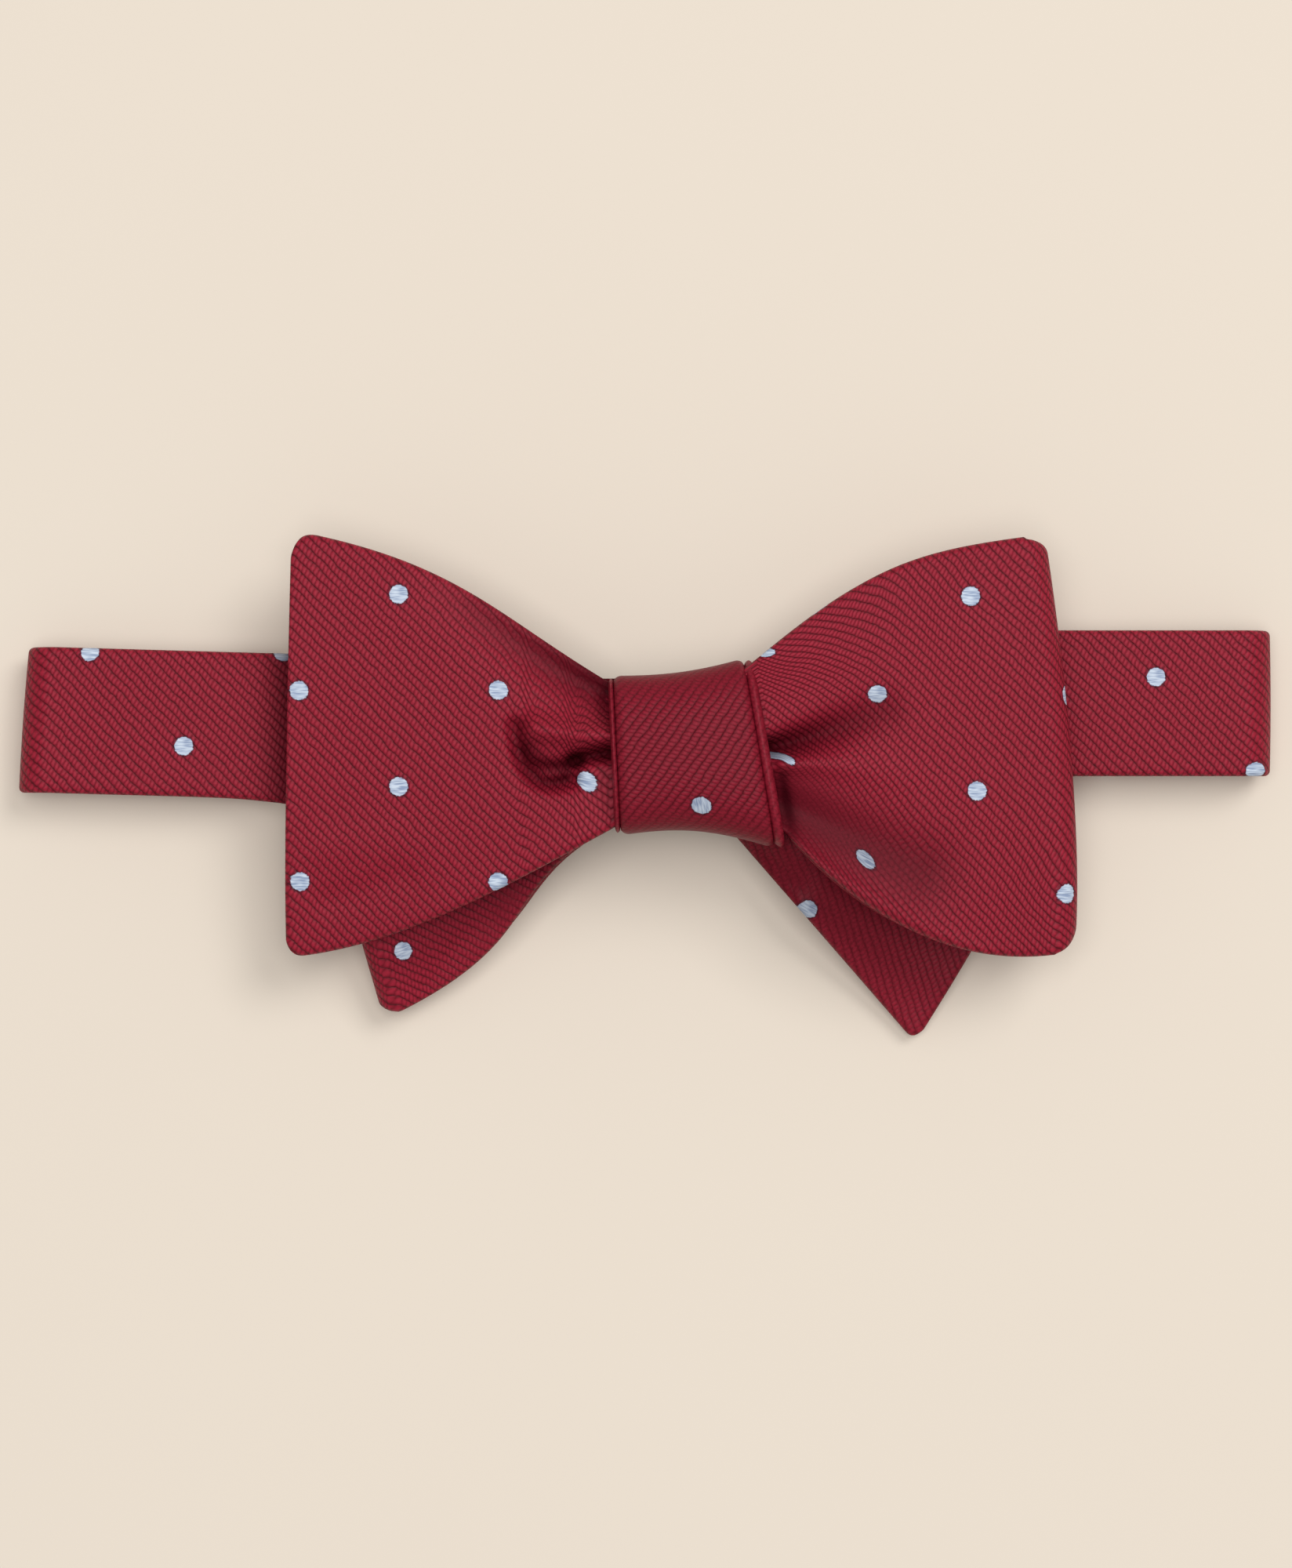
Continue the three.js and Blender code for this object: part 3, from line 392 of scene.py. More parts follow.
def sewing_thread():
    """Claret polyester thread: two plies, drawn as a leaning sine along the stitch."""
    material, tree, shader = new_material("claret_sewing_thread", Roughness=0.55)
    cloth = add(tree, "ShaderNodeUVMap", uv_map="cloth").outputs[0]
    ply = add(tree, "ShaderNodeVectorMath", {0: cloth, 1: (9.0, 9.0, 0)},
              operation="DOT_PRODUCT").outputs["Value"]
    level = maths(tree, "MULTIPLY_ADD", maths(tree, "SINE", ply), 0.5, 0.5)
    tone = add(tree, "ShaderNodeMix", {"Factor": level, "A": colour("#4a0b15"), "B": colour("#86202f")},
               data_type="RGBA").outputs["Result"]
    tree.links.new(tone, shader.inputs["Base Color"])
    return material


wool = plain_weave()
nickel = satin_nickel()
thread = sewing_thread()
print("materials:", wool.name, nickel.name, thread.name)

# %% [markdown]
# ## The wings
# A wing is a blade flattened by pressing and gathered where the knot holds it. Its middle surface runs
# from the knot (u = 0) to its outer edge (u = 1) and from its lower edge (v = 0) to its upper (v = 1). The
# outline is four curves with two rounded corners. The heights come from how the bow stands at the knot and
# rests at its end. The folds are valleys and ridges along short curved paths, pressed in where the knot
# pinches.

# %% Wing sizes
SILK = 0.45                   # a silk panel
SKIN_LEAST = 0.1              # a blade's half thickness never goes under this at a rim
SILK_LEAST = 0.03             # nor does a silk's inner side go closer than this to the middle
LINING_PLACE = (0.15, 0.85)   # shares of the way from silk to silk between which the interlining lies
INTERLINING = 0.8
LAYER_GAP = 0.2
BLADE_HALF = INTERLINING / 2 + LAYER_GAP + SILK
ROLL = 1.3                    # width over which a blade's edge rounds off
ROOT_GAP = 0.4                # between a wing and the side of the knot
TUCK = 2.4                    # how far a wing's cloth goes on into the knot
TUCK_STEPS = 5
SEAM = 3                      # grid lines by which the interlining stops short of the sewn edge
KNOT_LEFT = (-4.7, -5.8)      # x of the knot's left edge, at its bottom and at its top
KNOT_RIGHT = (20.9, 16.6)
KNOT_BOTTOM = (-7.9, -10.3)   # y of the knot's lower edge, at its left and at its right
KNOT_TOP = (16.4, 19.4)
KNOT_BASE = 9.5               # height of the knot's back above the table
KNOT_WALL = 2.75
KNOT_FRONT = 25.5             # height of its front, before it swells by the crown
KNOT_CROWN = 0.9
REAR_BOW_Z = 14.95            # height of the rear bow's middle inside the knot
FRONT_BOW_Z = 20.05
LEG_GAP = 1.35                # half the distance between a bight's two legs inside the knot


def knot_edge(ends, y):
    """x of the knot's leaning side at a height y: the straight line between its two ends."""
    return mix(*ends, (y - KNOT_BOTTOM[0]) / (KNOT_TOP[0] - KNOT_BOTTOM[0]))


def left_root(y):
    """Where a left wing's edge starts, just clear of the knot."""
    return (knot_edge(KNOT_LEFT, y) - ROOT_GAP, y)


def right_root(y):
    """Where a right wing's edge starts, just clear of the knot."""
    return (knot_edge(KNOT_RIGHT, y) + ROOT_GAP, y)


print("a blade is", 2 * BLADE_HALF, "mm thick")

# %% Wing surface
def wing_edge(points, end, radius, at_start):
    """A curve to the outer corner, cut short by the corner's radius, then a parabola round the corner."""
    curve, length = even_curve(points)
    outer, outer_length = even_curve(end)
    stop = radius / outer_length
    corner = [curve(1 - radius / length), curve(1.0), outer(stop if at_start else 1 - stop)]
    corner_length = even_curve(corner)[1]
    straight = (length - radius) / (length - radius + corner_length)

    def at(u):
        """The edge's points at the shares u of its length."""
        on_curve = curve(np.clip(u / straight, 0, 1) * (1 - radius / length))
        on_corner = bezier(corner, np.clip((u - straight) / (1 - straight), 0, 1))
        return np.where((u < straight)[..., None], on_curve, on_corner)
    return at


def wing_plan(wing, u, v):
    """Plan positions: the blend of the lower and upper edges, pulled on to the end edge by u cubed."""
    outer, length = even_curve(wing["end"])
    upper = wing_edge(wing["top"], wing["end"], wing["radii"][1], True)
    lower = wing_edge(wing["bottom"], wing["end"], wing["radii"][0], False)
    low_stop, high_stop = [radius / length for radius in wing["radii"]]
    inside = np.clip(u, 0, 1)
    plan = mix(lower(inside), upper(inside), v[..., None])
    chord = mix(lower(np.ones_like(v)), upper(np.ones_like(v)), v[..., None])
    edge = outer(mix(1 - low_stop, high_stop, v))
    plan = plan + (edge - chord) * (inside ** 3)[..., None]
    width = np.linalg.norm(upper(inside) - lower(inside), axis=-1)
    return plan, width


def fold_heights(x, y, folds):
    """The sum of all folds: height times exp(-(distance / width)^2) from each fold's path."""
    total = np.zeros_like(x)
    share = np.linspace(0, 1, 48)
    for path, heights, widths in folds:
        line = bezier(path, share)
        distance = np.hypot(x[..., None] - line[:, 0], y[..., None] - line[:, 1])
        nearest = share[distance.argmin(-1)]
        total += mix(*heights, nearest) * np.exp(-(distance.min(-1) / mix(*widths, nearest)) ** 2)
    return total


def wing_height(wing, u, v):
    """From the bow's height at the knot to three heights at the outer edge, eased along u."""
    return mix(wing["root_z"], through(wing["end_z"], v), ease(0, 1, u))


def cloth_map(points, plan, across, wing):
    """Flat cloth positions: the plan, stretched along v by the length that the folds take up, slipped where
    the knot drags the cloth, then turned and moved so that a spot falls on its place."""
    steps = np.diff(points, axis=1)
    flat_steps = np.diff(plan, axis=1)
    taken = np.linalg.norm(steps, axis=2) - np.linalg.norm(flat_steps, axis=2)
    start = int(np.argmin(np.abs(across - wing["anchor_v"])))
    extra = np.concatenate([np.zeros((len(points), 1)), np.cumsum(taken, axis=1)], axis=1)
    extra -= extra[:, start:start + 1]
    spread = plan + extra[..., None] * unit(np.gradient(plan, axis=1))
    for place, push, reach in wing.get("slips", []):
        near = np.exp(-(np.linalg.norm(plan - np.array(place), axis=-1) / reach) ** 2)
        spread = spread + near[..., None] * np.array(push)
    rise = plan[..., 1] - wing["spot"][1]
    spread[..., 1] += mix(*wing.get("gather", (0, 0)), ease(-4, 6, rise)) * rise * wing["near_knot"]
    return turned(spread - np.array(wing["spot"]), wing.get("turn", 0))


def turned(flat, degrees):
    """Flat positions turned anticlockwise about the origin."""
    c, s = math.cos(math.radians(degrees)), math.sin(math.radians(degrees))
    return flat @ np.array([[c, s], [-s, c]])


def dense_ends(count, low=True, high=True, share=0.55):
    """Steps from 0 to 1 that crowd towards the ends named: part even, part half a cosine wave."""
    t = np.linspace(0, 1, count)
    if low and high:
        crowd = (1 - np.cos(math.pi * t)) / 2
    else:
        crowd = np.sin(math.pi * t / 2)
    return mix(t, crowd, share)


def rolled(*distances):
    """Half thickness near rims: a quarter circle over the roll, rounded where two rims meet."""
    reach = np.sqrt(sum(np.clip(1 - d / ROLL, 0, 1) ** 2 for d in distances))
    return BLADE_HALF * np.sqrt(1 - np.clip(reach, 0, 1) ** 2)


# %% [markdown]
# ### A flat end
# A flat end is the plain end of a blade: a face silk, the interlining and a back silk, sewn together round
# three sides and turned. Each panel lies between the blade's outer skin and the interlining, and the two
# skins meet in the rolled edge.

# %% Flat ends
KNOT_MIDDLE = 7               # x in the middle of the knot


def tuck_in(points, last=False):
    """Adds columns that carry the root on into the knot and gather it, so that no gap shows beside it."""
    root = points[-1:] if last else points[:1]
    share = np.linspace(1, 0.2, TUCK_STEPS)[:, None]
    if last:
        share = share[::-1]
    more = np.repeat(root, TUCK_STEPS, axis=0)
    more[..., 0] += -np.sign(root[..., 0].mean() - KNOT_MIDDLE) * TUCK * share
    more[..., 1] = mix(more[..., 1], root[..., 1].mean(), 0.14 * share)
    return np.concatenate([points, more] if last else [more, points])


def skins(middle, half, fold):
    """The four skins of a blade, with its folds: outer front, inner front, inner back and outer back."""
    normals = grid_normals(middle)
    inner = np.clip(half - SILK, SILK_LEAST, None)
    half = np.clip(half, SKIN_LEAST, None)
    lift = np.stack([np.zeros_like(fold), np.zeros_like(fold), fold], -1)
    return [middle + normals * (side * amount)[..., None] + lift
            for side, amount in ((1, half), (1, inner), (-1, inner), (-1, half))]


def blend_with_knot(pieces):
    """Bakes each piece's transform into its mesh."""
    for piece in pieces:
        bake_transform(piece)


def flat_end(name, wing, sides, columns=150, rows=130):
    """Builds the three pieces of a flat end."""
    u = dense_ends(columns, low=False)
    v = dense_ends(rows)
    uu, vv = np.meshgrid(u, v, indexing="ij")
    plan, width = wing_plan(wing, uu, vv)
    wing["near_knot"] = 1 - ease(0, 0.35, uu)
    middle = np.concatenate([plan, wing_height(wing, uu, vv)[..., None]], -1)
    fold = fold_heights(plan[..., 0], plan[..., 1], wing["folds"])
    length = np.linalg.norm(middle[-1, rows // 2] - middle[0, rows // 2])
    half = rolled(vv * width, (1 - vv) * width, (1 - uu) * length)
    folded = middle + np.stack([0 * fold, 0 * fold, fold], -1)
    cloth = cloth_map(folded, plan, v, wing)
    crisp, painted_shade = crispness(folded, wing), painted_shade_on_paths(folded, wing)
    fronts = [tuck_in(skin) for skin in skins(middle, half, fold)]
    cloth, crisp, painted_shade = [np.concatenate([np.repeat(a[:1], TUCK_STEPS, axis=0), a])
                          for a in (cloth, crisp, painted_shade)]
    face = layer(f"{name}_{sides[0]}", fronts[0], fronts[1], cloth, crisp, painted_shade)
    core = layer(f"{name}_lining", *[mix(fronts[1], fronts[2], t)[:-SEAM, SEAM:-SEAM] for t in LINING_PLACE],
                 cloth[:-SEAM, SEAM:-SEAM])
    back = layer(f"{name}_{sides[1]}", fronts[2], fronts[3], cloth, crisp)
    return face, core, back


def crispness(points, wing):
    """How clearly the ribs stand: they fade where the cloth is pulled smooth, along named paths."""
    fade = fold_heights(points[..., 0], points[..., 1], wing.get("smooth", []))
    return np.clip(wing.get("crisp", 1) * (1 - fade), 0.12, 1)


def painted_shade_on_paths(points, wing):
    """Painted shade from 0 to 0.9 along named paths: in creases, along edges and over the rear wings."""
    return np.clip(fold_heights(points[..., 0], points[..., 1], wing["shade"]), 0, 0.9)


def dress(parts, nodes):
    """Materials of a wing's three pieces."""
    looks = ((claret_twill, "silk_twill"), (wool, "interlining"), (claret_reverse, "silk_reverse"))
    for part, (material, slot), node in zip(parts, looks, nodes):
        finish(part, material, None, [node])


front_left = {
    "top": [left_root(15.8), (-22.9, 25.8), (-28.6, 33.6), (-53.1, 38.4)],
    "bottom": [left_root(-6.8), (-17.2, -13.3), (-36.6, -24.9), (-54.3, -26.4)],
    "end": [(-53.1, 38.4), (-54.9, 18), (-54.7, -5.5), (-54.3, -26.4)],
    "radii": (2.2, 3.4), "root_z": FRONT_BOW_Z, "end_z": (12.8, 17.6, 17.4),
    "spot": (-37.4, 28.7), "anchor_v": 0.42, "slips": [((-9.0, 1.2), (2.0, -0.6), 5)],
    # Painted shade along these paths, in the creases by the knot and along the upper edge.
    "shade": [
        ([(-19.6, 8.6), (-18.6, -1.8), (-12.0, 0.9)], (0.4, 0.8), (1.4, 1.1)),
        ([(-17.6, 5.4), (-15.8, 1.6), (-10.5, 3.4)], (0.5, 0.85), (1.5, 1.2)),
        ([(-11, 3.8), (-8, 4.6), (-4, 4.8)], (0.7, 0.9), (0.9, 1.2)),
        ([(-5, 14.6), (-12, 17), (-26, 27)], (0.8, 0.15), (3.2, 2.6)),
    ],
    "folds": [
        ([(-19.8, 8.8), (-18.8, -2.2), (-11.4, 0.7)], (-1.6, -2.6), (1.2, 1.3)),
        ([(-16.4, 2.6), (-13.6, 1.8), (-10.5, 3.4)], (-1.4, -1.8), (1.3, 1.1)),
        ([(-11, 3.6), (-8, 4.6), (-4, 5.0)], (-2.2, -3.0), (1.1, 1.2)),
        ([(-16.6, 8.4), (-12.5, 7.4), (-6, 7.4)], (2.6, 2.4), (2.1, 2.0)),
        ([(-5, 13.6), (-14, 16.4), (-31, 30)], (-4.4, -0.6), (3.6, 4.2)),
        ([(-48, -17.6), (-42, -16.4), (-37, -14)], (-0.5, -0.5), (2.4, 2.4)),
        ([(-49, -10), (-42, -8.4), (-34, -9)], (0.4, 0.2), (3.0, 3.4)),
    ],
    "smooth": [([(-6, 15), (-16, 18.5), (-30, 29)], (0.75, 0.2), (3.4, 3.0))],
}
rear_right = {
    "top": [right_root(15), (32, 20), (52, 10), (62, -6)],
    "bottom": [(13.4, -7.6), (22.6, -18.2), (31.9, -28.8), (41.3, -39.6)],
    "end": [(62, -6), (55, -17.2), (48, -28.6), (41.3, -39.6)],
    "radii": (1.8, 3), "root_z": REAR_BOW_Z, "end_z": (1.9, 6, 10.9),
    "spot": (24.4, -19.0), "anchor_v": 0.05, "turn": 27, "crisp": 0.6,
    # Painted shade over much of this rear wing, deepest near the knot.
    "shade": [([(18, -12), (32, -20), (46, -28)], (0.4, 0.22), (9, 9))],
    "folds": [
        ([(12, -7.4), (16, -11), (20, -15)], (-6.8, -2.8), (3.4, 3.6)),
        ([(20, 5.3), (25, 6.6), (31, 11.5)], (-1.0, -0.4), (2.4, 3.4)),
        ([(24, -12), (33, -20), (42, -29)], (0.4, 0.3), (3.0, 4.0)),
    ],
    "smooth": [([(22, -14), (28, -20), (34, -26)], (0.5, 0.2), (5.0, 4.0))],
}
wing_parts = {}
for name, wing, sides in (("front_left_wing", front_left, ("face", "back")),
                          ("rear_right_wing", rear_right, ("face", "back"))):
    parts = flat_end(name, wing, sides)
    nodes = [f"{name}_face_silk", f"{name}_interlining", f"{name}_back_silk"]
    dress(parts, nodes)
    wing_parts[name] = parts

# %% [markdown]
# ### A bight
# A bight is the blade folded in two. Its surface is one strip, w from 0 to 1: out along the front leg, half
# round the fold at the outer edge and back along the rear leg. Both legs share the knot's folds, so that
# they nest. The cloth position goes on round the fold by the length of the strip.

# %% Bights
LEG_SHARE = 0.44


def bight(name, wing, columns=(110, 26), rows=110):
    """Builds the three pieces of a bight."""
    leg = np.linspace(0, LEG_SHARE, columns[0])
    turn = np.linspace(LEG_SHARE, 1 - LEG_SHARE, columns[1])[1:-1]
    w = np.concatenate([leg, turn, 1 - leg[::-1]])
    v = dense_ends(rows)
    ww, vv = np.meshgrid(w, v, indexing="ij")
    u = np.clip(np.minimum(ww, 1 - ww) / LEG_SHARE, 0, 1)
    leg_grid, leg_v = np.meshgrid(leg / LEG_SHARE, v, indexing="ij")
    plan, width = wing_plan(wing, leg_grid, leg_v)
    base = np.concatenate([plan, wing_height(wing, leg_grid, leg_v)[..., None]], -1)
    up = grid_normals(base)
    column = np.concatenate([np.arange(columns[0]), np.full(columns[1] - 2, columns[0] - 1),
                             np.arange(columns[0])[::-1]])
    base, up, plan, width = base[column], up[column], plan[column], width[column]
    tangent = np.gradient(base[columns[0] - 1], axis=0)
    out = unit(np.cross(tangent, up[columns[0] - 1]))
    out *= np.sign(out[..., :1]) * np.sign(base[columns[0] - 1][..., :1])
    angle = np.clip((ww - LEG_SHARE) / (1 - 2 * LEG_SHARE), 0, 1)[..., None] * math.pi
    round_off = [np.sqrt(1 - np.clip(1 - d * width / r, 0, 1) ** 2)
                 for d, r in ((vv, wing["fold_radii"][0]), (1 - vv, wing["fold_radii"][1]))]
    outward = up * np.cos(angle) + out * np.sin(angle) * (round_off[0] * round_off[1])[..., None]
    gap = mix(LEG_GAP, wing["fold_gap"], ease(0, 1, u))
    half = rolled(vv * width, (1 - vv) * width)
    rear = mix(1, wing["rear_share"], ease(0.45, 0.55, ww))
    fold = fold_heights(plan[..., 0], plan[..., 1], wing["folds"]) * rear
    lift = np.stack([0 * fold, 0 * fold, fold], -1)
    inner = np.clip(half - SILK, SILK_LEAST, None)
    rim = np.clip(half, SKIN_LEAST, None)
    grids = [base + outward * (gap + amount)[..., None] + lift for amount in (rim, inner, -inner, -rim)]
    wing["near_knot"] = 1 - ease(0, 0.6, u)
    cloth = cloth_map(base + lift, plan, v, wing)
    past = np.cumsum(np.linalg.norm(np.diff(grids[0], axis=0, prepend=grids[0][:1]), axis=-1), axis=0)
    past = np.clip(past - past[columns[0] - 1], 0, None)
    beyond = turned(unit(out[..., :2]), wing.get("turn", 0))
    last = cloth[columns[0] - 1]
    cloth = np.where((ww > LEG_SHARE)[..., None], last + beyond * past[..., None], cloth)
    crisp = crispness(base, wing)
    painted_shade = painted_shade_on_paths(base, wing) * (ww < 0.5)
    grids = [tuck_in(tuck_in(grid), last=True) for grid in grids]
    cloth, crisp, painted_shade = [np.concatenate([np.repeat(a[:1], TUCK_STEPS, axis=0), a,
                                          np.repeat(a[-1:], TUCK_STEPS, axis=0)])
                          for a in (cloth, crisp, painted_shade)]
    outer = layer(f"{name}_outer", grids[0], grids[1], cloth, crisp, painted_shade)
    core = layer(f"{name}_lining", *[mix(grids[1], grids[2], t)[:, SEAM:-SEAM] for t in LINING_PLACE],
                 cloth[:, SEAM:-SEAM])
    inside = layer(f"{name}_inner", grids[2], grids[3], cloth, crisp)
    return outer, core, inside


FRONT_FOLD_GAP = 2.2
REAR_FOLD_GAP = 1.6
front_right = {
    "top": [right_root(18.8), (33.6, 32.8), (40, 35.0), (60.6 - FRONT_FOLD_GAP - BLADE_HALF, 37.3)],
    "bottom": [right_root(-7.6), (30.7, -18.5), (44.9, -27.8), (65.3 - FRONT_FOLD_GAP - BLADE_HALF, -25.6)],
    "end": [(60.6 - FRONT_FOLD_GAP - BLADE_HALF, 37.3), (59.5, 23.1), (63.5, -8.3),
            (65.3 - FRONT_FOLD_GAP - BLADE_HALF, -25.6)],
    "radii": (0.3, 0.3), "root_z": FRONT_BOW_Z, "end_z": (14.2, 17.3, 17.2),
    "fold_gap": FRONT_FOLD_GAP, "rear_share": 0.8, "fold_radii": (4.0, 2.6),
    "spot": (34.7, 13.6), "anchor_v": 0.68, "gather": (0.3, 1.1),
    "slips": [((33, -11.8), (1.9, -0.3), 7), ((22.5, 3), (-1.9, 2.6), 3.5), ((18.6, 20.2), (1.6, 1.6), 5),
              ((62.7, -16.6), (1.5, 1.0), 8), ((48.9, 27.9), (1.0, -0.2), 7)],
    # Painted shade in the creases by the knot and over the smooth hollow below them.
    "shade": [
        ([(18.5, 5.4), (25, 7.0), (36, 11.2)], (0.9, 0.35), (1.4, 3.0)),
        ([(21, -3.5), (31, -9), (41, -13)], (0.5, 0.42), (4.4, 5.6)),
        ([(20.5, 1.2), (21.5, -3.5), (22, -8)], (0.6, 0.3), (0.9, 1.1)),
    ],
    "folds": [
        ([(18.0, 5.3), (25, 6.8), (35, 11.0)], (-4.4, -0.8), (1.4, 3.2)),
        ([(20.5, 3.0), (28, 3.8), (38, 1.2)], (1.6, 0.3), (1.3, 2.8)),
        ([(20, -3.0), (29, -7.6), (42, -12.5)], (-2.8, -0.9), (3.6, 5.4)),
        ([(20, -8.2), (31, -17), (52, -26)], (1.1, 0.3), (1.3, 1.3)),
    ],
    "smooth": [([(22, -3), (29, -8), (40, -13)], (1.0, 0.6), (5.5, 5.5))],
}
rear_left = {
    "top": [left_root(13.5), (-20, 17), (-34, 17), (-50.5 + REAR_FOLD_GAP + BLADE_HALF, 12)],
    "bottom": [left_root(-6.5), (-22.3, -15.6), (-14.2, -22.8), (-40.9 + REAR_FOLD_GAP + BLADE_HALF, -34.5)],
    "end": [(-50.5 + REAR_FOLD_GAP + BLADE_HALF, 12), (-47.5, -2), (-42, -20),
            (-40.9 + REAR_FOLD_GAP + BLADE_HALF, -34.5)],
    "radii": (0.3, 0.3), "root_z": REAR_BOW_Z, "end_z": (3.8, 11.2, 12.9),
    "fold_gap": REAR_FOLD_GAP, "rear_share": 0.8, "fold_radii": (1.4, 2.0),
    "spot": (-37.4, -24.8), "anchor_v": 0.2, "turn": -18,
    # Painted shadow of the front left wing on this wing.
    "shade": [([(-14, -12), (-24, -18), (-38, -26)], (0.45, 0.2), (4, 3))],
    "folds": [
        ([(-19, 6), (-16, 1), (-6, 2.6)], (-1.1, -1.1), (2.4, 2.4)),
        ([(-34, -30), (-30, -25), (-24, -20)], (-0.5, -0.3), (1.8, 2.4)),
    ],
    "smooth": [([(-20, -17), (-22, -21), (-26, -25)], (0.6, 0.2), (2.4, 2.4))],
}
for name, wing in (("front_right_wing", front_right), ("rear_left_wing", rear_left)):
    parts = bight(name, wing)
    nodes = [f"{name}_outer_silk", f"{name}_interlining", f"{name}_inner_silk"]
    dress(parts, nodes)
    wing_parts[name] = parts

for name, wing in (("front_left_wing", front_left), ("rear_left_wing", rear_left)):
    blend_with_knot(wing_parts[name])
for name, wing in (("front_right_wing", front_right), ("rear_right_wing", rear_right)):
    blend_with_knot(wing_parts[name])

# %% [markdown]
# ## The knot
# The knot is the blade wound twice round both bows. The top turn is a flattened tube whose two side edges
# are folded under, so they show as soft rolls, and the turn under it shows as a second roll at each side.
# Its section is a soft-cornered rectangle, |y/a|^3 + |z/b|^3 = 1, and its sides lean with the knot.

# %% Knot surfaces
KNOT_SQUARENESS = 3
KNOT_WAIST = (1.9, 0.9)       # how far the knot's lower and upper edges draw in at its middle
WRAP_SETBACK = (0.8, 1.5)     # how far the top turn stops short of the turn under it, left and right
WRAP_HALF = BLADE_HALF
KNOT_SPOT = (7.4, -3.5)       # where one woven spot shows on the knot
ROLL_CRISP = 0.3              # the ribs are strained smooth round a tight roll
KNOT_SHADE = 0.22             # painted shade over the knot, whose ribs lean the other way and catch less of the lamp
KNOT_TURN = -96               # the blade crosses the knot, so its ribs lean the other way


def knot_point(share, angle, inset):
    """A point of the knot's tube. share runs across it, angle round it, and inset goes in from its skin."""
    power = 2 / KNOT_SQUARENESS
    unit_y = np.sign(np.cos(angle)) * np.abs(np.cos(angle)) ** power
    unit_z = np.sign(np.sin(angle)) * np.abs(np.sin(angle)) ** power
    low, high = [amount * np.sin(math.pi * share) for amount in KNOT_WAIST]
    y = mix(mix(*KNOT_BOTTOM, share) + inset + low, mix(*KNOT_TOP, share) - inset - high, (unit_y + 1) / 2)
    bulge = KNOT_CROWN * (1 - unit_y ** 2) * np.sin(math.pi * share) * np.clip(unit_z, 0, None)
    z = mix(KNOT_BASE + inset, KNOT_FRONT - inset, (unit_z + 1) / 2) + bulge
    x = mix(knot_edge(KNOT_LEFT, y), knot_edge(KNOT_RIGHT, y), share)
    return np.stack([x, y, z], -1)


def knot_grid(across, insets, rows=220):
    """A ring of points for each place across the knot; insets holds one depth for each place."""
    angle = -math.pi / 2 + 2 * math.pi * np.arange(rows) / rows
    shares, angles = np.meshgrid(across, angle, indexing="ij")
    return knot_point(shares, angles, np.broadcast_to(insets[:, None], shares.shape))


def knot_cloth(grid):
    """Flat positions: along the knot by x, and round it by the length of the ring from its front."""
    closed = np.concatenate([grid, grid[:, :1]], axis=1)
    lengths = np.linalg.norm(np.diff(closed, axis=1), axis=2)
    run = np.concatenate([np.zeros((len(grid), 1)), np.cumsum(lengths, axis=1)], axis=1)
    front = grid.shape[1] // 2
    y = grid[:, front, 1][:, None] - (run - run[:, front:front + 1])
    x = np.broadcast_to(grid[:, front, 0][:, None], y.shape)
    return turned(np.stack([x, y], -1) - np.array(KNOT_SPOT), KNOT_TURN)


knot_width = KNOT_RIGHT[1] - KNOT_LEFT[1]
first, last = WRAP_SETBACK[0] / knot_width, 1 - WRAP_SETBACK[1] / knot_width
across = mix(first, last, dense_ends(90, share=0.8))
edge = np.minimum(across - first, last - across) * knot_width
roll_half = np.clip(rolled(edge), 0.12, None)
outer = WRAP_HALF - roll_half
inner = WRAP_HALF + roll_half
face_skin = knot_grid(across, outer)
face_under = knot_grid(across, np.minimum(outer + SILK, WRAP_HALF - 0.02))
back_under = knot_grid(across, np.maximum(inner - SILK, WRAP_HALF + 0.02))
back_skin = knot_grid(across, inner)
cloth = knot_cloth(face_skin)
facing = np.clip((face_skin[..., 2] - KNOT_FRONT + 2.5) / 2.5, 0, 1)
crisp = mix(0.3, 0.85, facing)
# The whole top turn takes the same painted shade.
painted_shade = np.full(crisp.shape, KNOT_SHADE)

wrap_face = layer("knot_wrap_face", face_skin, face_under, cloth, crisp, painted_shade, ring=True)
wrap_core = layer("knot_wrap_lining", *[mix(face_under, back_under, t)[SEAM:-SEAM] for t in LINING_PLACE],
                  cloth[SEAM:-SEAM], ring=True)
wrap_back = layer("knot_wrap_back", back_under, back_skin, cloth, ring=True)
finish(wrap_face, claret_twill, "knot", ["knot_wrap_face_silk"])
finish(wrap_core, wool, "knot", ["knot_wrap_interlining"])
finish(wrap_back, claret_reverse, "knot", ["knot_wrap_back_silk"])

# The turn beneath: flat under the wrap, and rising to a roll beside it. e is the distance in from its edge.
under_across = dense_ends(110, share=0.85)
e = np.minimum(under_across, 1 - under_across) * knot_width
setback = np.where(under_across < 0.5, *WRAP_SETBACK)
beside = np.clip(e / setback, 0, 1)
rim_depth = mix(2.0, WRAP_HALF + 0.25, ease(0.5, 0.95, beside))
roll_depth = rim_depth - (rim_depth - 0.45) * np.sqrt(np.clip(1 - (2 * beside - 1) ** 2, 0, 1))
below_wrap = WRAP_HALF + np.clip(rolled(e - setback), 0.1, None) + 0.15
under_depth = np.where(e < setback, roll_depth, below_wrap)
under_skin = knot_grid(under_across, under_depth)
under_inside = knot_grid(under_across, np.maximum(under_depth, 2.0) + SILK)
roll_crisp = np.full(under_skin.shape[:2], ROLL_CRISP)
under_turn = layer("knot_lower_turn", under_skin, under_inside, knot_cloth(under_skin), roll_crisp, ring=True)
finish(under_turn, claret_twill, "knot", ["knot_under_turn"])

